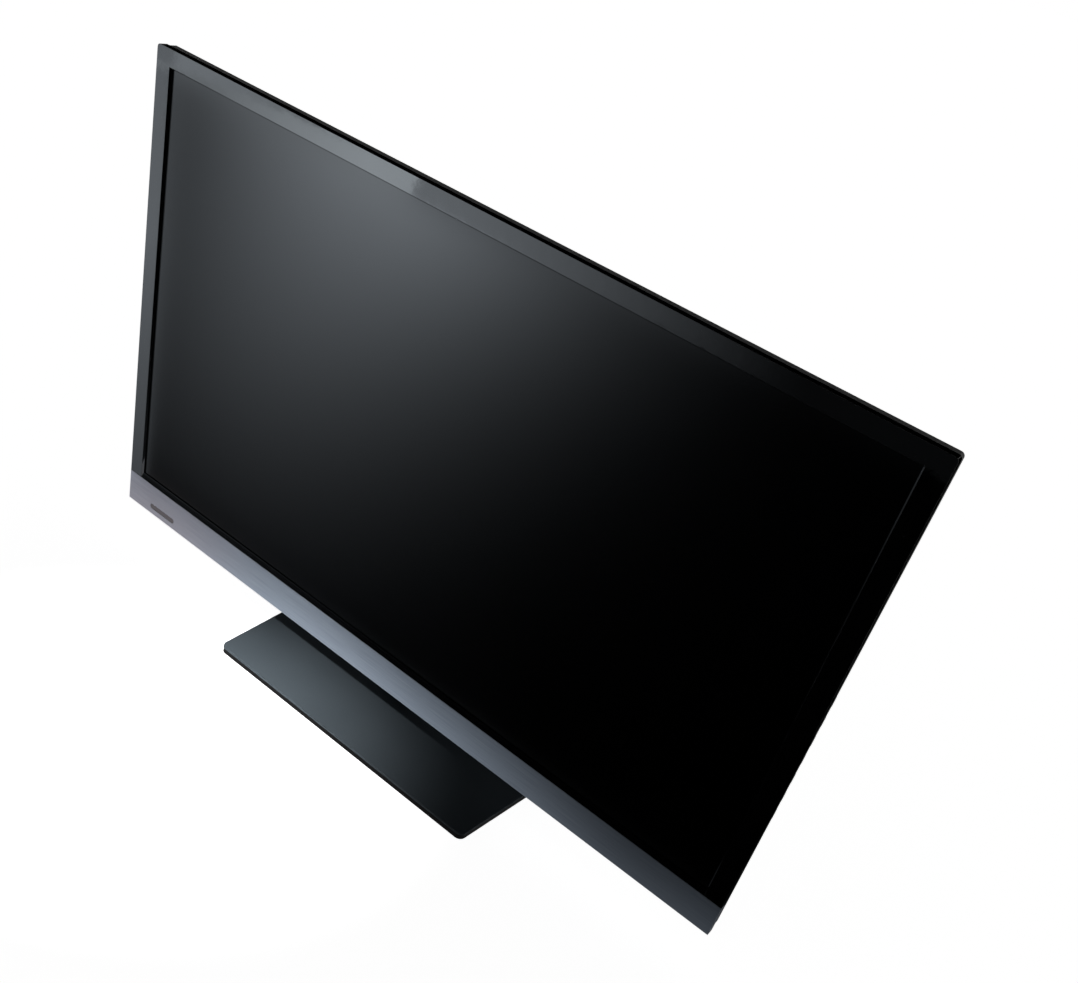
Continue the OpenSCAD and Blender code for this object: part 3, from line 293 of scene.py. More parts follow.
# Epoxy glass boards: solder mask over copper lines, with the mask a little lighter on the copper
boardLook = {
    "circuit_green": {"name": "greenMaskedEpoxyBoard", "mask": "#12402a", "copper": "#1f6b44",
                      "lineMm": 1.8},
    "circuit_tan": {"name": "bareEpoxyBoard", "mask": "#a88548", "copper": "#c3a163", "lineMm": 3.2},
}
copperLook = {"linesToField": 4, "rings": 9, "edgeLow": 0.45, "edgeHigh": 0.55, "maskRough": 0.38,
              "copperRough": 0.28, "bump": 0.2, "thickMm": 0.05}
for slot, look in boardLook.items():
    material, tree = startMaterial(look["name"])
    place = addNode(tree, "ShaderNodeTexCoord").outputs["Object"]
    fields = addNode(tree, "ShaderNodeTexVoronoi", {
        "Vector": place, "Scale": 1 / (copperLook["linesToField"] * look["lineMm"] * mm)},
        distance="CHEBYCHEV").outputs["Distance"]
    rings = addNode(tree, "ShaderNodeMath", {0: fields, 1: copperLook["rings"]},
                    operation="MULTIPLY").outputs[0]
    wave = addNode(tree, "ShaderNodeMath", {0: rings, 1: 1.0}, operation="PINGPONG").outputs[0]
    lines = addNode(tree, "ShaderNodeMapRange", {
        "Value": wave, "From Min": copperLook["edgeLow"], "From Max": copperLook["edgeHigh"]}).outputs[0]
    tone = addNode(tree, "ShaderNodeMix", {0: lines, 6: linear(look["mask"]), 7: linear(look["copper"])},
                   data_type="RGBA").outputs[2]
    rough = addNode(tree, "ShaderNodeMapRange", {
        "Value": lines, "To Min": copperLook["maskRough"], "To Max": copperLook["copperRough"]}).outputs[0]
    bump = addNode(tree, "ShaderNodeBump", {
        "Height": lines, "Strength": copperLook["bump"], "Distance": copperLook["thickMm"] * mm}).outputs[0]
    endMaterial(tree, {"IOR": 1.55, "Base Color": tone, "Roughness": rough, "Normal": bump})
    finishes[slot] = material

# Cast acrylic light guide: clear pale sheet with rows of white dots.
# The dots are drawn 4 times as coarse as real ones so that they show.
guideLook = {"clear": "#cfdad9", "dot": "#f2f5f4", "pitchMm": 4.0, "dotEdge": 0.3, "dotEnd": 0.36,
             "clearRough": 0.08, "dotRough": 0.6}
material, tree = startMaterial("dottedCastAcrylic")
place = addNode(tree, "ShaderNodeTexCoord").outputs["Object"]
dots = addNode(tree, "ShaderNodeTexVoronoi", {
    "Vector": place, "Scale": 1 / (guideLook["pitchMm"] * mm), "Randomness": 0.0}).outputs["Distance"]
spots = addNode(tree, "ShaderNodeMapRange", {
    "Value": dots, "From Min": guideLook["dotEdge"], "From Max": guideLook["dotEnd"],
    "To Min": 1.0, "To Max": 0.0}).outputs[0]
tone = addNode(tree, "ShaderNodeMix", {0: spots, 6: linear(guideLook["clear"]), 7: linear(guideLook["dot"])},
               data_type="RGBA").outputs[2]
rough = addNode(tree, "ShaderNodeMapRange", {
    "Value": spots, "To Min": guideLook["clearRough"], "To Max": guideLook["dotRough"]}).outputs[0]
endMaterial(tree, {"IOR": 1.49, "Base Color": tone, "Roughness": rough})
finishes["acrylic"] = material

# Brushed and clear-anodised aluminium: cool grey, with hairlines along the strip that draw reflections out
# up and down. Real hairlines are 0.05 mm apart, drawn here at 0.7 mm so that they show.
stripLook = {"dark": "#868b93", "light": "#a0a5ad", "lineMm": 0.7, "lengthMm": 60, "detail": 3.0,
             "darkShare": 0.3, "lightShare": 0.7, "smooth": 0.36, "rough": 0.44, "drawnOut": 0.75,
             "bump": 0.05, "depthMm": 0.1}
material, tree = startMaterial("brushedAnodisedAluminium")
place = addNode(tree, "ShaderNodeTexCoord").outputs["Object"]
drawn = addNode(tree, "ShaderNodeMapping", {
    "Vector": place, "Scale": (stripLook["lineMm"] / stripLook["lengthMm"], 1, 1)}).outputs["Vector"]
hair = addNode(tree, "ShaderNodeTexNoise", {
    "Vector": drawn, "Scale": 1 / (stripLook["lineMm"] * mm), "Detail": stripLook["detail"]}).outputs[0]
share = addNode(tree, "ShaderNodeMapRange", {
    "Value": hair, "From Min": stripLook["darkShare"], "From Max": stripLook["lightShare"]}).outputs[0]
tone = addNode(tree, "ShaderNodeMix", {
    0: share, 6: linear(stripLook["dark"]), 7: linear(stripLook["light"])}, data_type="RGBA").outputs[2]
rough = addNode(tree, "ShaderNodeMapRange", {
    "Value": share, "To Min": stripLook["smooth"], "To Max": stripLook["rough"]}).outputs[0]
bump = addNode(tree, "ShaderNodeBump", {
    "Height": hair, "Strength": stripLook["bump"], "Distance": stripLook["depthMm"] * mm}).outputs[0]
acrossLines = addNode(tree, "ShaderNodeVectorTransform", {0: (0, 0, 1)}, vector_type="VECTOR",
                      convert_from="OBJECT", convert_to="WORLD").outputs[0]
endMaterial(tree, {"Metallic": 1.0, "Anisotropic": stripLook["drawnOut"], "Base Color": tone,
                   "Roughness": rough, "Normal": bump, "Tangent": acrossLines})
finishes["brushed_strip"] = material

# Moulded nylon jacks: dark bodies whose mouths carry the usual ring colours, and a darker middle in each
# mouth as painted shade of its hole
jackLook = {"body": "#1a1a1c", "hollow": "#0b0b0c", "hollowMm": 2.6, "mouthMm": 2.0,
            "rings": ("#2f8f4a", "#2c55b8", "#b3262c", "#e6e6e0", "#b3262c"),
            "wearMm": 3.0, "wearDetail": 3.0, "smooth": 0.35, "rough": 0.55}
jackLow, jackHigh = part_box("audio_jacks")
jackBlock = jackHigh.z - jackLow.z
lastJack = len(jackLook["rings"]) - 1
jackPitch = (jackHigh.x - jackLow.x - jackBlock) / lastJack
material, tree = startMaterial("mouldedNylonJack")
place = addNode(tree, "ShaderNodeTexCoord").outputs["Object"]
axes = addNode(tree, "ShaderNodeSeparateXYZ", {"Vector": place}).outputs
along = addNode(tree, "ShaderNodeMapRange", {
    "Value": axes["X"], "From Min": jackLow.x + jackBlock / 2, "From Max": jackHigh.x - jackBlock / 2,
    "To Min": 0.0, "To Max": lastJack}, clamp=False).outputs[0]
number = addNode(tree, "ShaderNodeMath", {0: along}, operation="ROUND").outputs[0]
offset = addNode(tree, "ShaderNodeMath", {0: along, 1: number}, operation="SUBTRACT").outputs[0]
across = addNode(tree, "ShaderNodeMath", {0: offset, 1: jackPitch}, operation="MULTIPLY").outputs[0]
upward = addNode(tree, "ShaderNodeMath", {0: axes["Z"], 1: (jackLow.z + jackHigh.z) / 2},
                 operation="SUBTRACT").outputs[0]
square = addNode(tree, "ShaderNodeMath", {0: across, 1: across}, operation="MULTIPLY").outputs[0]
squares = addNode(tree, "ShaderNodeMath", {0: upward, 1: upward, 2: square},
                  operation="MULTIPLY_ADD").outputs[0]
fromMiddle = addNode(tree, "ShaderNodeMath", {0: squares}, operation="SQRT").outputs[0]
ringTone = linear(jackLook["rings"][0])
for i, ringHex in enumerate(jackLook["rings"][1:], 1):
    past = addNode(tree, "ShaderNodeMath", {0: number, 1: i - 0.5}, operation="GREATER_THAN").outputs[0]
    ringTone = addNode(tree, "ShaderNodeMix", {0: past, 6: ringTone, 7: linear(ringHex)},
                       data_type="RGBA").outputs[2]
mouth = addNode(tree, "ShaderNodeMath", {0: axes["Y"], 1: jackHigh.y - jackLook["mouthMm"] * mm},
                operation="GREATER_THAN").outputs[0]
tone = addNode(tree, "ShaderNodeMix", {0: mouth, 6: linear(jackLook["body"]), 7: ringTone},
               data_type="RGBA").outputs[2]
# Painted shade: the middle of each jack's mouth is darker, for the shade in its hole
hollow = addNode(tree, "ShaderNodeMath", {0: fromMiddle, 1: jackLook["hollowMm"] * mm},
                 operation="LESS_THAN").outputs[0]
tone = addNode(tree, "ShaderNodeMix", {0: hollow, 6: tone, 7: linear(jackLook["hollow"])},
               data_type="RGBA").outputs[2]
wear = addNode(tree, "ShaderNodeTexNoise", {
    "Vector": place, "Scale": 1 / (jackLook["wearMm"] * mm), "Detail": jackLook["wearDetail"]}).outputs[0]
rough = addNode(tree, "ShaderNodeMapRange", {
    "Value": wear, "To Min": jackLook["smooth"], "To Max": jackLook["rough"]}).outputs[0]
endMaterial(tree, {"IOR": 1.53, "Base Color": tone, "Roughness": rough})
finishes["jack_white"] = material
print("finishes:", len(finishes))

nodeSlots = {name: obj.data.materials[0].name for name, obj in nodes.items()}
for name, obj in nodes.items():  # every CAD node takes its finish
    obj.data.materials.clear()
    obj.data.materials.append(finishes[nodeSlots[name]])


def showPiece(piece, mesh, node):  # puts a finished mesh in the scene in place of a CAD node
    obj = bpy.data.objects.new(piece, mesh)
    scene.collection.objects.link(obj)
    mesh.materials.clear()
    mesh.materials.append(finishes[nodeSlots[node]])
    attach(obj, nodes[node]["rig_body"])
    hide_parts(node)
    return obj


# Points closer than mergeMm become one, and so do faces that bend less than flatDeg. Bends over sharpDeg
# stay sharp, or over grownSharpDeg on screws and feet, and edges over bevelDeg are broken.
meshLook = {"mergeMm": 0.002, "flatDeg": 0.5, "sharpDeg": 30, "bevelDeg": 40, "grownSharpDeg": 35}


def mergedShape(node):  # the node's loose triangles as one clean closed shape
    shape = bmesh.new()
    shape.from_mesh(nodes[node].data)
    bmesh.ops.remove_doubles(shape, verts=shape.verts, dist=meshLook["mergeMm"] * mm)
    return shape


# Edges are broken as on the real mouldings
edgeLook = {
    "bezelFrame": {"node": "front_bezel", "radiusMm": 0.45, "segments": 3},
    "bottomStrip": {"node": "bottom_strip", "radiusMm": 0.5, "segments": 3},
    "sensorWindow": {"node": "sensor_window", "radiusMm": 0.3, "segments": 3},
    "rearCover": {"node": "rear_cover", "radiusMm": 0.35, "segments": 2},
    "baseCover": {"node": "base_cover", "radiusMm": 0.8, "segments": 4},
    "standNeck": {"node": "stand_neck", "radiusMm": 0.6, "segments": 3},
    "neckCap": {"node": "neck_cap", "radiusMm": 0.5, "segments": 3},
    "mainsInlet": {"node": "mains_inlet", "radiusMm": 0.2, "segments": 2},
    "videoSockets": {"node": "hdmi_sockets", "radiusMm": 0.12, "segments": 2},
    "dataSockets": {"node": "usb_sockets", "radiusMm": 0.12, "segments": 2},
    "networkSocket": {"node": "network_socket", "radiusMm": 0.2, "segments": 2},
    "volumeDownButton": {"node": "volume_down_button", "radiusMm": 0.3, "segments": 3},
    "volumeUpButton": {"node": "volume_up_button", "radiusMm": 0.3, "segments": 3},
    "channelDownButton": {"node": "channel_down_button", "radiusMm": 0.3, "segments": 3},
    "channelUpButton": {"node": "channel_up_button", "radiusMm": 0.3, "segments": 3},
    "inputButton": {"node": "input_button", "radiusMm": 0.3, "segments": 3},
    "homeButton": {"node": "home_button", "radiusMm": 0.3, "segments": 3},
    "powerButton": {"node": "power_button", "radiusMm": 0.3, "segments": 3},
}
for piece, look in edgeLook.items():
    shape = mergedShape(look["node"])
    bmesh.ops.dissolve_limit(shape, angle_limit=math.radians(meshLook["flatDeg"]), verts=shape.verts,
                             edges=shape.edges)
    mesh = bpy.data.meshes.new(piece)
    shape.to_mesh(mesh)
    shape.free()
    mesh.shade_smooth()
    mesh.set_sharp_from_angle(angle=math.radians(meshLook["sharpDeg"]))
    obj = showPiece(piece, mesh, look["node"])
    bevel = obj.modifiers.new("brokenEdges", "BEVEL")
    bevel.width = look["radiusMm"] * mm
    bevel.segments = look["segments"]
    bevel.limit_method = "ANGLE"
    bevel.angle_limit = math.radians(meshLook["bevelDeg"])
    flatten = obj.modifiers.new("flatFaces", "WEIGHTED_NORMAL")  # keeps the flats flat in reflections
    flatten.weight = 100
    flatten.keep_sharp = True
print("edged pieces:", len(edgeLook))


def startTree(name, sizes):  # a Geometry Nodes tree with named inputs: the sizes, the turn, the material
    tree = bpy.data.node_groups.new(name, "GeometryNodeTree")
    kinds = {"Geometry": "Geometry", **dict.fromkeys(sizes, "Float"),
             "Turn": "Vector", "Material": "Material"}
    for label, kind in kinds.items():
        tree.interface.new_socket(label, in_out="INPUT", socket_type="NodeSocket" + kind)
    tree.interface.new_socket("Geometry", in_out="OUTPUT", socket_type="NodeSocketGeometry")
    return tree, addNode(tree, "NodeGroupInput").outputs


def endTree(tree, given, shape):  # one copy of the shape at each point, as plain faces
    spin = addNode(tree, "FunctionNodeEulerToRotation", {0: given["Turn"]}).outputs[0]
    copies = addNode(tree, "GeometryNodeInstanceOnPoints", {
        "Points": given["Geometry"], "Instance": shape, "Rotation": spin}).outputs[0]
    plain = addNode(tree, "GeometryNodeRealizeInstances", {"Geometry": copies}).outputs[0]
    dressed = addNode(tree, "GeometryNodeSetMaterial", {
        "Geometry": plain, "Material": given["Material"]}).outputs[0]
    addNode(tree, "NodeGroupOutput", {"Geometry": dressed})


def growPiece(piece, tree, points, values, node):  # runs a tree on points and keeps the plain mesh
    values = {**values, "Material": finishes[nodeSlots[node]]}
    carrier = bpy.data.objects.new(piece + "Points", bpy.data.meshes.new(piece + "Points"))
    carrier.data.from_pydata(points, [], [])
    scene.collection.objects.link(carrier)
    grow = carrier.modifiers.new("grow", "NODES")
    grow.node_group = tree
    for item in tree.interface.items_tree:
        if item.in_out == "INPUT" and item.name in values:
            grow[item.identifier] = values[item.name]
    grown = bpy.data.meshes.new_from_object(carrier.evaluated_get(bpy.context.evaluated_depsgraph_get()))
    grown.name = piece
    carrier.modifiers.remove(grow)
    bpy.data.objects.remove(carrier)
    grown.shade_smooth()
    grown.set_sharp_from_angle(angle=math.radians(meshLook["grownSharpDeg"]))
    showPiece(piece, grown, node)


def partBoxes(node):  # lowest and highest corner of each loose part of a node
    shape = mergedShape(node)
    boxes = []
    seen = set()
    for vert in shape.verts:
        if vert in seen:
            continue
        seen.add(vert)
        reached = [vert]
        part = []
        while reached:
            here = reached.pop()
            part.append(here.co.copy())
            for edge in here.link_edges:
                there = edge.other_vert(here)
                if there not in seen:
                    seen.add(there)
                    reached.append(there)
        boxes.append(tuple(Vector(pick(p[k] for p in part) for k in range(3)) for pick in (min, max)))
    shape.free()
    return boxes


# Pan-head screws with a cross recess, head up before the turn.
# Crown, recess length and recess width are shares of the head's radius, and the others of its height:
# the shank reaches bury into the head, and the recess ends recessBelow under the head's middle.
headLook = {"sides": 40, "shankSides": 20, "crown": 0.78, "bury": 0.15,
            "recessLength": 1.15, "recessWidth": 0.28, "recessBelow": 0.1}
screwTree, given = startTree("crossScrews", (
    "Head Radius", "Head Height", "Shank Radius", "Shank Length",
    "Recess Length", "Recess Width", "Recess Below"))
crown = addNode(screwTree, "ShaderNodeMath", {0: given["Head Radius"], 1: headLook["crown"]},
                operation="MULTIPLY").outputs[0]
head = addNode(screwTree, "GeometryNodeMeshCone", {
    "Vertices": headLook["sides"], "Radius Top": crown, "Radius Bottom": given["Head Radius"],
    "Depth": given["Head Height"]}).outputs["Mesh"]
rise = addNode(screwTree, "ShaderNodeMath", {0: given["Head Height"], 1: given["Recess Below"]},
               operation="SUBTRACT").outputs[0]
lift = addNode(screwTree, "ShaderNodeCombineXYZ", {2: rise}).outputs[0]
bars = []
for first, second in (("Recess Length", "Recess Width"), ("Recess Width", "Recess Length")):
    size = addNode(screwTree, "ShaderNodeCombineXYZ", {
        0: given[first], 1: given[second], 2: given["Head Height"]}).outputs[0]
    bar = addNode(screwTree, "GeometryNodeMeshCube", {"Size": size}).outputs["Mesh"]
    bar = addNode(screwTree, "GeometryNodeTransform", {"Geometry": bar, "Translation": lift}).outputs[0]
    bars.append(bar)
cut = addNode(screwTree, "GeometryNodeMeshBoolean", {0: head, 1: bars}, operation="DIFFERENCE",
              solver="EXACT").outputs[0]
bury = addNode(screwTree, "ShaderNodeMath", {0: given["Head Height"], 1: headLook["bury"]},
               operation="MULTIPLY").outputs[0]
whole = addNode(screwTree, "ShaderNodeMath", {0: given["Shank Length"], 1: bury}, operation="ADD").outputs[0]
shank = addNode(screwTree, "GeometryNodeMeshCylinder", {
    "Vertices": headLook["shankSides"], "Radius": given["Shank Radius"], "Depth": whole}).outputs["Mesh"]
middle = addNode(screwTree, "ShaderNodeMath", {0: whole, 1: -0.5, 2: bury},
                 operation="MULTIPLY_ADD").outputs[0]
sink = addNode(screwTree, "ShaderNodeCombineXYZ", {2: middle}).outputs[0]
shank = addNode(screwTree, "GeometryNodeTransform", {"Geometry": shank, "Translation": sink}).outputs[0]
screw = addNode(screwTree, "GeometryNodeMeshBoolean", {1: [cut, shank]}, operation="UNION",
                solver="EXACT").outputs[0]
endTree(screwTree, given, screw)

screwLook = {  # the way the head faces, the head's radius and height and the shank's radius in mm
    "coverScrews": {"node": "cover_screws", "faces": "+Y", "headR": 3.0, "headH": 1.8, "shankR": 1.2},
    "standScrews": {"node": "stand_screws", "faces": "+Y", "headR": 4.5, "headH": 2.5, "shankR": 2.4},
    "baseScrews": {"node": "base_screws", "faces": "-Z", "headR": 3.0, "headH": 1.2, "shankR": 1.2},
}
for piece, look in screwLook.items():
    headRadius = look["headR"] * mm
    headHeight = look["headH"] * mm
    seats = []
    for low, high in partBoxes(look["node"]):
        middle = (low + high) / 2
        if look["faces"] == "+Y":
            seats.append((middle.x, high.y - headHeight, middle.z))
            length = high.y - low.y - headHeight
        else:
            seats.append((middle.x, middle.y, low.z + headHeight))
            length = high.z - low.z - headHeight
    growPiece(piece, screwTree, seats, {
        "Head Radius": headRadius, "Head Height": headHeight, "Shank Radius": look["shankR"] * mm,
        "Shank Length": length, "Recess Length": headRadius * headLook["recessLength"],
        "Recess Width": headRadius * headLook["recessWidth"],
        "Recess Below": headHeight * headLook["recessBelow"],
        "Turn": (-math.pi / 2, 0, 0) if look["faces"] == "+Y" else (math.pi, 0, 0)}, look["node"])
print("screws:", ", ".join(screwLook))

# Rubber feet: a chamfered disc with a groove round its sole
footLook = {"sides": 48, "chamferMm": 0.5, "grooveOuterMm": 6.0, "grooveInnerMm": 4.5, "grooveDepthMm": 0.7}
footTree, given = startTree("rubberFeet", (
    "Radius", "Height", "Chamfer", "Groove Outer", "Groove Inner", "Groove Depth"))
deep, cutDeep = (  # twice, because the lower half of a cylinder stands below the sole
    addNode(footTree, "ShaderNodeMath", {0: given[size], 1: 2.0}, operation="MULTIPLY").outputs[0]
    for size in ("Height", "Groove Depth"))
narrow = addNode(footTree, "ShaderNodeMath", {0: given["Radius"], 1: given["Chamfer"]},
                 operation="SUBTRACT").outputs[0]
wide = addNode(footTree, "ShaderNodeMath", {0: narrow, 1: deep}, operation="ADD").outputs[0]
funnel = addNode(footTree, "GeometryNodeMeshCone", {
    "Vertices": footLook["sides"], "Radius Top": wide, "Radius Bottom": narrow,
    "Depth": deep}).outputs["Mesh"]
disc, outer, inner = (
    addNode(footTree, "GeometryNodeMeshCylinder", {
        "Vertices": footLook["sides"], "Radius": given[radius], "Depth": depth}).outputs["Mesh"]
    for radius, depth in (("Radius", deep), ("Groove Outer", cutDeep), ("Groove Inner", deep)))
foot = addNode(footTree, "GeometryNodeMeshBoolean", {1: [disc, funnel]}, operation="INTERSECT",
               solver="EXACT").outputs[0]
groove = addNode(footTree, "GeometryNodeMeshBoolean", {0: outer, 1: inner}, operation="DIFFERENCE",
                 solver="EXACT").outputs[0]
grooved = addNode(footTree, "GeometryNodeMeshBoolean", {0: foot, 1: groove}, operation="DIFFERENCE",
                  solver="EXACT").outputs[0]
endTree(footTree, given, grooved)

footBoxes = partBoxes("base_feet")
footLow, footHigh = footBoxes[0]
soles = [((low.x + high.x) / 2, (low.y + high.y) / 2, low.z) for low, high in footBoxes]
growPiece("baseFeet", footTree, soles, {
    "Radius": (footHigh.x - footLow.x) / 2, "Height": footHigh.z - footLow.z,
    "Chamfer": footLook["chamferMm"] * mm, "Groove Outer": footLook["grooveOuterMm"] * mm,
    "Groove Inner": footLook["grooveInnerMm"] * mm, "Groove Depth": footLook["grooveDepthMm"] * mm,
    "Turn": (0, 0, 0)}, "base_feet")
print("feet:", len(footBoxes))

# Camera at the photograph's place, rolled and shifted as its framing needs
cameraLook = {"place": (0.5903, -0.8677, 0.9140), "forward": (-0.36069, 0.76074, -0.53960),
              "up": (-0.50974, 0.32371, 0.79711), "lens": 37.154, "sensor": 36.0,
              "shiftX": -0.0380, "shiftY": 0.0845, "clipNear": 0.01, "clipFar": 200}
lensData = bpy.data.cameras.new("studioCamera")
lensData.sensor_fit = "HORIZONTAL"
lensData.sensor_width = cameraLook["sensor"]
lensData.lens = cameraLook["lens"]
lensData.shift_x = cameraLook["shiftX"]
lensData.shift_y = cameraLook["shiftY"]
lensData.clip_start = cameraLook["clipNear"]
lensData.clip_end = cameraLook["clipFar"]
camera = bpy.data.objects.new("studioCamera", lensData)
scene.collection.objects.link(camera)
forward = Vector(cameraLook["forward"]).normalized()
sideways = forward.cross(Vector(cameraLook["up"])).normalized()
turned = Matrix((sideways, sideways.cross(forward), -forward)).transposed().to_4x4()
camera.matrix_world = Matrix.Translation(cameraLook["place"]) @ turned
scene.camera = camera

allRays = ("camera", "diffuse", "glossy", "transmission", "shadow")


def stageCard(name, corners, material, rays):  # a flat card of the studio, seen by the named kinds of ray
    mesh = bpy.data.meshes.new(name)
    mesh.from_pydata(corners, [], [list(range(len(corners)))])
    mesh.materials.append(material)
    obj = bpy.data.objects.new(name, mesh)
    scene.collection.objects.link(obj)
    for ray in allRays:
        setattr(obj, "visible_" + ray, ray in rays)


def seenRays(tree):  # 1 for rays that look, mirror or pass through, 0 for those that only light
    rays = addNode(tree, "ShaderNodeLightPath").outputs
    seen = rays["Is Camera Ray"]
    for ray in ("Is Glossy Ray", "Is Transmission Ray"):
        seen = addNode(tree, "ShaderNodeMath", {0: seen, 1: rays[ray]}, operation="MAXIMUM").outputs[0]
    return seen


# Floor: pale, lit by the lamp, lifted to white for the camera and for reflections, so the shadow stays
floorLook = {"tone": "#f2f2f2", "lift": 0.94, "half": 60.0}
material, tree = startMaterial("paleStudioFloor")
seen = seenRays(tree)
glow = addNode(tree, "ShaderNodeMath", {0: seen, 1: floorLook["lift"]}, operation="MULTIPLY").outputs[0]
matt = addNode(tree, "ShaderNodeBsdfDiffuse", {"Color": linear(floorLook["tone"])}).outputs[0]
light = addNode(tree, "ShaderNodeEmission", {"Strength": glow}).outputs[0]
lifted = addNode(tree, "ShaderNodeAddShader", {0: matt, 1: light}).outputs[0]
addNode(tree, "ShaderNodeOutputMaterial", {"Surface": lifted})
half = floorLook["half"]
corners = [(-half, -half, 0), (half, -half, 0), (half, half, 0), (-half, half, 0)]
stageCard("studioFloor", corners, material, allRays)

# World: white where it is seen or mirrored, a soft even fill for the rest
worldLook = {"fill": 0.07}
world = bpy.data.worlds.new("whiteStudio")
scene.world = world
world.use_nodes = True
tree = world.node_tree
tree.nodes.clear()
bright = addNode(tree, "ShaderNodeMapRange", {
    "Value": seenRays(tree), "To Min": worldLook["fill"], "To Max": 1.0}).outputs[0]
sky = addNode(tree, "ShaderNodeBackground", {"Color": linear("#ffffff"), "Strength": bright}).outputs[0]
addNode(tree, "ShaderNodeOutputWorld", {"Surface": sky})

# Graded card on the floor in front, seen only in reflections: bright far to the left, black on the right.
# Its shade follows the fan of lines from a point behind the set, so that it fades evenly along the screen.
# Beyond the part that the screen mirrors, it is lit for the glossy frame and, near the set, for the strip.
cardLook = {
    "left": -4.0, "right": 3.0, "near": -0.05, "far": -4.0, "height": 0.0125, "tint": "#eaf4fe",
    "fanX": 0.59, "fanY": 0.784, "reach": -1.5,  # away is 1 at the reach
    "glow": 4.85, "glowPower": 1.5, "middle": 0.86, "drift": 0.3, "driftPower": 1.7,  # glow in the screen
    "steepLeft": 13.0, "steepRight": 9.2, "footFade": 0.13,
    "edgeFan": 1.246, "edgeOut": 1.3, "edgeFar": -1.55, "edgeNear": -0.119,  # where the glow ends
    "rimDark": 0.3, "rimBright": 0.82, "rimFar": 2.45, "rimLeast": 0.05,  # light in the top of the frame
    "rimNear": 0.6, "rimSide": 1.7, "sideNear": 0.05, "sideFar": 0.46,  # light in its left side
    "stripDark": 0.25, "stripBright": 0.89, "stripLeast": 0.27,  # light in the strip
    "strip": 1.22, "stripEnd": 0.86, "stripFrom": 0.77, "stripTo": 1.26,
    "stripWarm": "#fff3f7", "warmFull": -0.42, "warmEnd": -0.18, "stripSlant": -0.371}
cardSteps = (  # name, operation and terms: x and y on the card, values of cardLook, earlier steps or numbers
    ("across", "SUBTRACT", "x", "fanX"),
    ("back", "SUBTRACT", "y", "fanY"),
    ("fan", "DIVIDE", "across", "back"),
    ("away", "DIVIDE", "y", "reach"),
    ("nearness", "LINEAR", "away", 0, 1, 1, 0),
    ("bend", "POWER", "nearness", "driftPower"),
    ("centre", "MULTIPLY_ADD", "bend", "drift", "middle"),
    ("aside", "SUBTRACT", "fan", "centre"),
    ("isRight", "LESS_THAN", "aside", 0),
    ("steepAway", "MULTIPLY_ADD", "away", "steepRight", "steepRight"),
    ("steep", "LINEAR", "isRight", 0, 1, "steepLeft", "steepAway"),
    ("square", "MULTIPLY", "aside", "aside"),
    ("fall", "MULTIPLY", "square", "steep"),
    ("drop", "MULTIPLY", "fall", -1),
    ("spread", "EXPONENT", "drop"),
    ("rise", "POWER", "away", "glowPower"),
    ("swell", "MULTIPLY", "rise", "glow"),
    ("lit", "MULTIPLY", "swell", "spread"),
    ("foot", "SMOOTHSTEP", "away", 0, "footFade", 0, 1),
    ("onScreen", "MULTIPLY", "lit", "foot"),
    ("topRamp", "SMOOTHSTEP", "fan", "rimDark", "rimBright", 0, 1),
    ("onTop", "MULTIPLY_ADD", "topRamp", "rimFar", "rimLeast"),
    ("onSide", "LINEAR", "away", "sideNear", "sideFar", "rimNear", "rimSide"),
    ("stripRamp", "SMOOTHSTEP", "fan", "stripDark", "stripBright", 0, 1),
    ("stripTone", "LINEAR", "fan", "stripFrom", "stripTo", "strip", "stripEnd"),
    ("onStrip", "MULTIPLY_ADD", "stripRamp", "stripTone", "stripLeast"),
    ("isFar", "LESS_THAN", "y", "edgeFar"),
    ("farLevel", "LINEAR", "isFar", 0, 1, "onScreen", "onTop"),
    ("isSide", "GREATER_THAN", "fan", "edgeFan"),
    ("sideLevel", "LINEAR", "isSide", 0, 1, "farLevel", "onSide"),
    ("isOut", "GREATER_THAN", "fan", "edgeOut"),
    ("outLevel", "LINEAR", "isOut", 0, 1, "sideLevel", "rimLeast"),
    ("isStrip", "GREATER_THAN", "y", "edgeNear"),
    ("level", "LINEAR", "isStrip", 0, 1, "outLevel", "onStrip"),
    ("slant", "MULTIPLY_ADD", "y", "stripSlant", "x"),
    ("onLeft", "SMOOTHSTEP", "slant", "warmFull", "warmEnd", 1, 0),
    ("warm", "MULTIPLY", "isStrip", "onLeft"),
)
material, tree = startMaterial("gradedReflector")
place = addNode(tree, "ShaderNodeTexCoord").outputs["Object"]
axes = addNode(tree, "ShaderNodeSeparateXYZ", {"Vector": place}).outputs
field = {**cardLook, "x": axes["X"], "y": axes["Y"]}
for name, operation, *terms in cardSteps:
    values = {i: field.get(term, term) for i, term in enumerate(terms)}
    if operation in ("LINEAR", "SMOOTHSTEP"):  # from the span of two terms to that of the next two
        step = addNode(tree, "ShaderNodeMapRange", values, interpolation_type=operation)
    else:
        step = addNode(tree, "ShaderNodeMath", values, operation=operation)
    field[name] = step.outputs[0]
tint = addNode(tree, "ShaderNodeMix", {
    0: field["warm"], 6: linear(cardLook["tint"]), 7: linear(cardLook["stripWarm"])},
    data_type="RGBA").outputs[2]
light = addNode(tree, "ShaderNodeEmission", {"Color": tint, "Strength": field["level"]}).outputs[0]
clear = addNode(tree, "ShaderNodeBsdfTransparent").outputs[0]
underside = addNode(tree, "ShaderNodeNewGeometry").outputs["Backfacing"]
oneSided = addNode(tree, "ShaderNodeMixShader", {0: underside, 1: light, 2: clear}).outputs[0]
addNode(tree, "ShaderNodeOutputMaterial", {"Surface": oneSided})
stageCard("gradedReflector", [(cardLook[x], cardLook[y], cardLook["height"]) for x, y in (
    ("left", "far"), ("right", "far"), ("right", "near"), ("left", "near"))], material, ("glossy",))

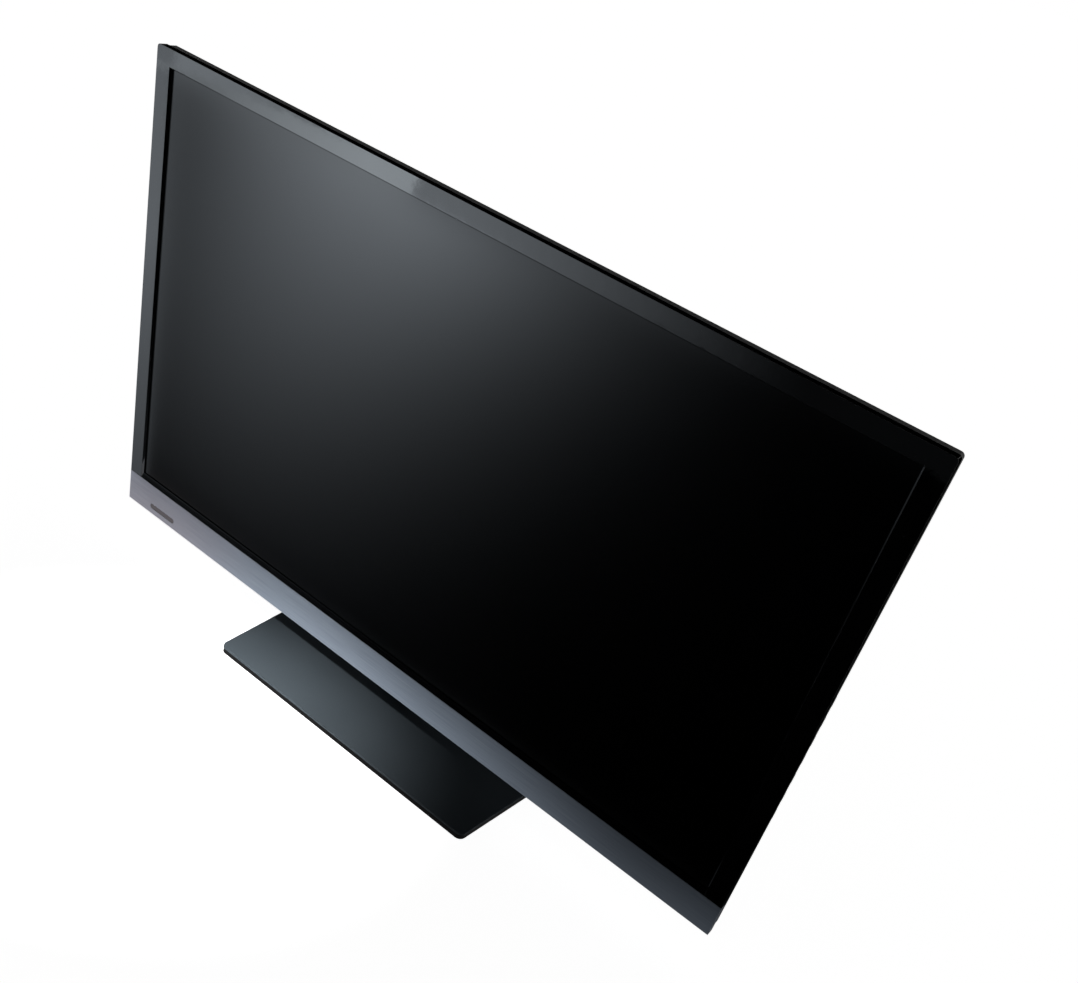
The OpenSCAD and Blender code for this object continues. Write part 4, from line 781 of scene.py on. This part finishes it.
# Low softbox far in front on the left, brighter towards its slanted right edge, seen only in reflections
boxLook = {"y": -1.3, "low": 0.104, "leftHigh": 0.112, "rightHigh": 0.18, "left": -2.2, "right": -1.145,
           "slant": 0.025, "dim": 2.35, "dimTo": -1.85, "bright": 5.3, "brightFrom": -1.295,
           "tint": "#e4eef6"}
material, tree = startMaterial("lowSoftbox")
place = addNode(tree, "ShaderNodeTexCoord").outputs["Object"]
along = addNode(tree, "ShaderNodeSeparateXYZ", {"Vector": place}).outputs["X"]
power = addNode(tree, "ShaderNodeMapRange", {
    "Value": along, "From Min": boxLook["dimTo"], "From Max": boxLook["brightFrom"],
    "To Min": boxLook["dim"], "To Max": boxLook["bright"]}).outputs[0]
light = addNode(tree, "ShaderNodeEmission", {"Color": linear(boxLook["tint"]), "Strength": power}).outputs[0]
addNode(tree, "ShaderNodeOutputMaterial", {"Surface": light})
stageCard("lowSoftbox", [(x, boxLook["y"], z) for x, z in (
    (boxLook["left"], boxLook["low"]),
    (boxLook["right"], boxLook["low"]),
    (boxLook["right"] + boxLook["slant"], boxLook["rightHigh"]),
    (boxLook["left"], boxLook["leftHigh"]))], material, ("glossy",))

# Black flags round the set, seen only in reflections: they keep edges, corner and glass dark
flagLook = {  # span along X, then the place along Y and the height of two opposite edges
    "backFlag": {"x": (-3.4, 0.9), "y": (1.5, 1.5), "z": (0.75, 2.1)},
    "frontFlag": {"x": (-5.0, 5.0), "y": (-4.05, -4.05), "z": (0.0, 3.5)},
    "topFlag": {"x": (-5.0, 5.0), "y": (-4.05, 1.5), "z": (3.5, 3.5)},
    "floorFlag": {"x": (0.43, 0.9), "y": (-0.03, 1.9), "z": (0.004, 0.004)},
    "cornerFlag": {"x": (0.75, 1.25), "y": (1.51, 1.51), "z": (0.05, 1.0)},
}
material, tree = startMaterial("blackFlag")
felt = addNode(tree, "ShaderNodeBsdfDiffuse", {"Color": linear("#000000")}).outputs[0]
addNode(tree, "ShaderNodeOutputMaterial", {"Surface": felt})
for name, flag in flagLook.items():
    corners = [(flag["x"][i], flag["y"][k], flag["z"][k]) for i, k in ((0, 0), (1, 0), (1, 1), (0, 1))]
    stageCard(name, corners, material, ("glossy",))

# Key lamp above on the left, turned so that its light falls off to the right
keyLook = {"place": (-0.9, -0.8, 1.4), "aim": (-0.157, -0.268, 0.0), "size": 0.08, "radiance": 62.0,
           "spreadDeg": 17.6}
keyData = bpy.data.lights.new("keySoftbox", "AREA")
keyData.size = keyLook["size"]
keyData.energy = keyLook["radiance"] * math.pi * keyLook["size"] ** 2
keyData.spread = math.radians(keyLook["spreadDeg"])
key = bpy.data.objects.new("keySoftbox", keyData)
scene.collection.objects.link(key)
towards = Vector(keyLook["aim"]) - Vector(keyLook["place"])
facing = towards.to_track_quat("-Z", "Y").to_matrix().to_4x4()
key.matrix_world = Matrix.Translation(keyLook["place"]) @ facing
key.visible_camera = False

scene.view_settings.view_transform = "Standard"
print("studio ready")
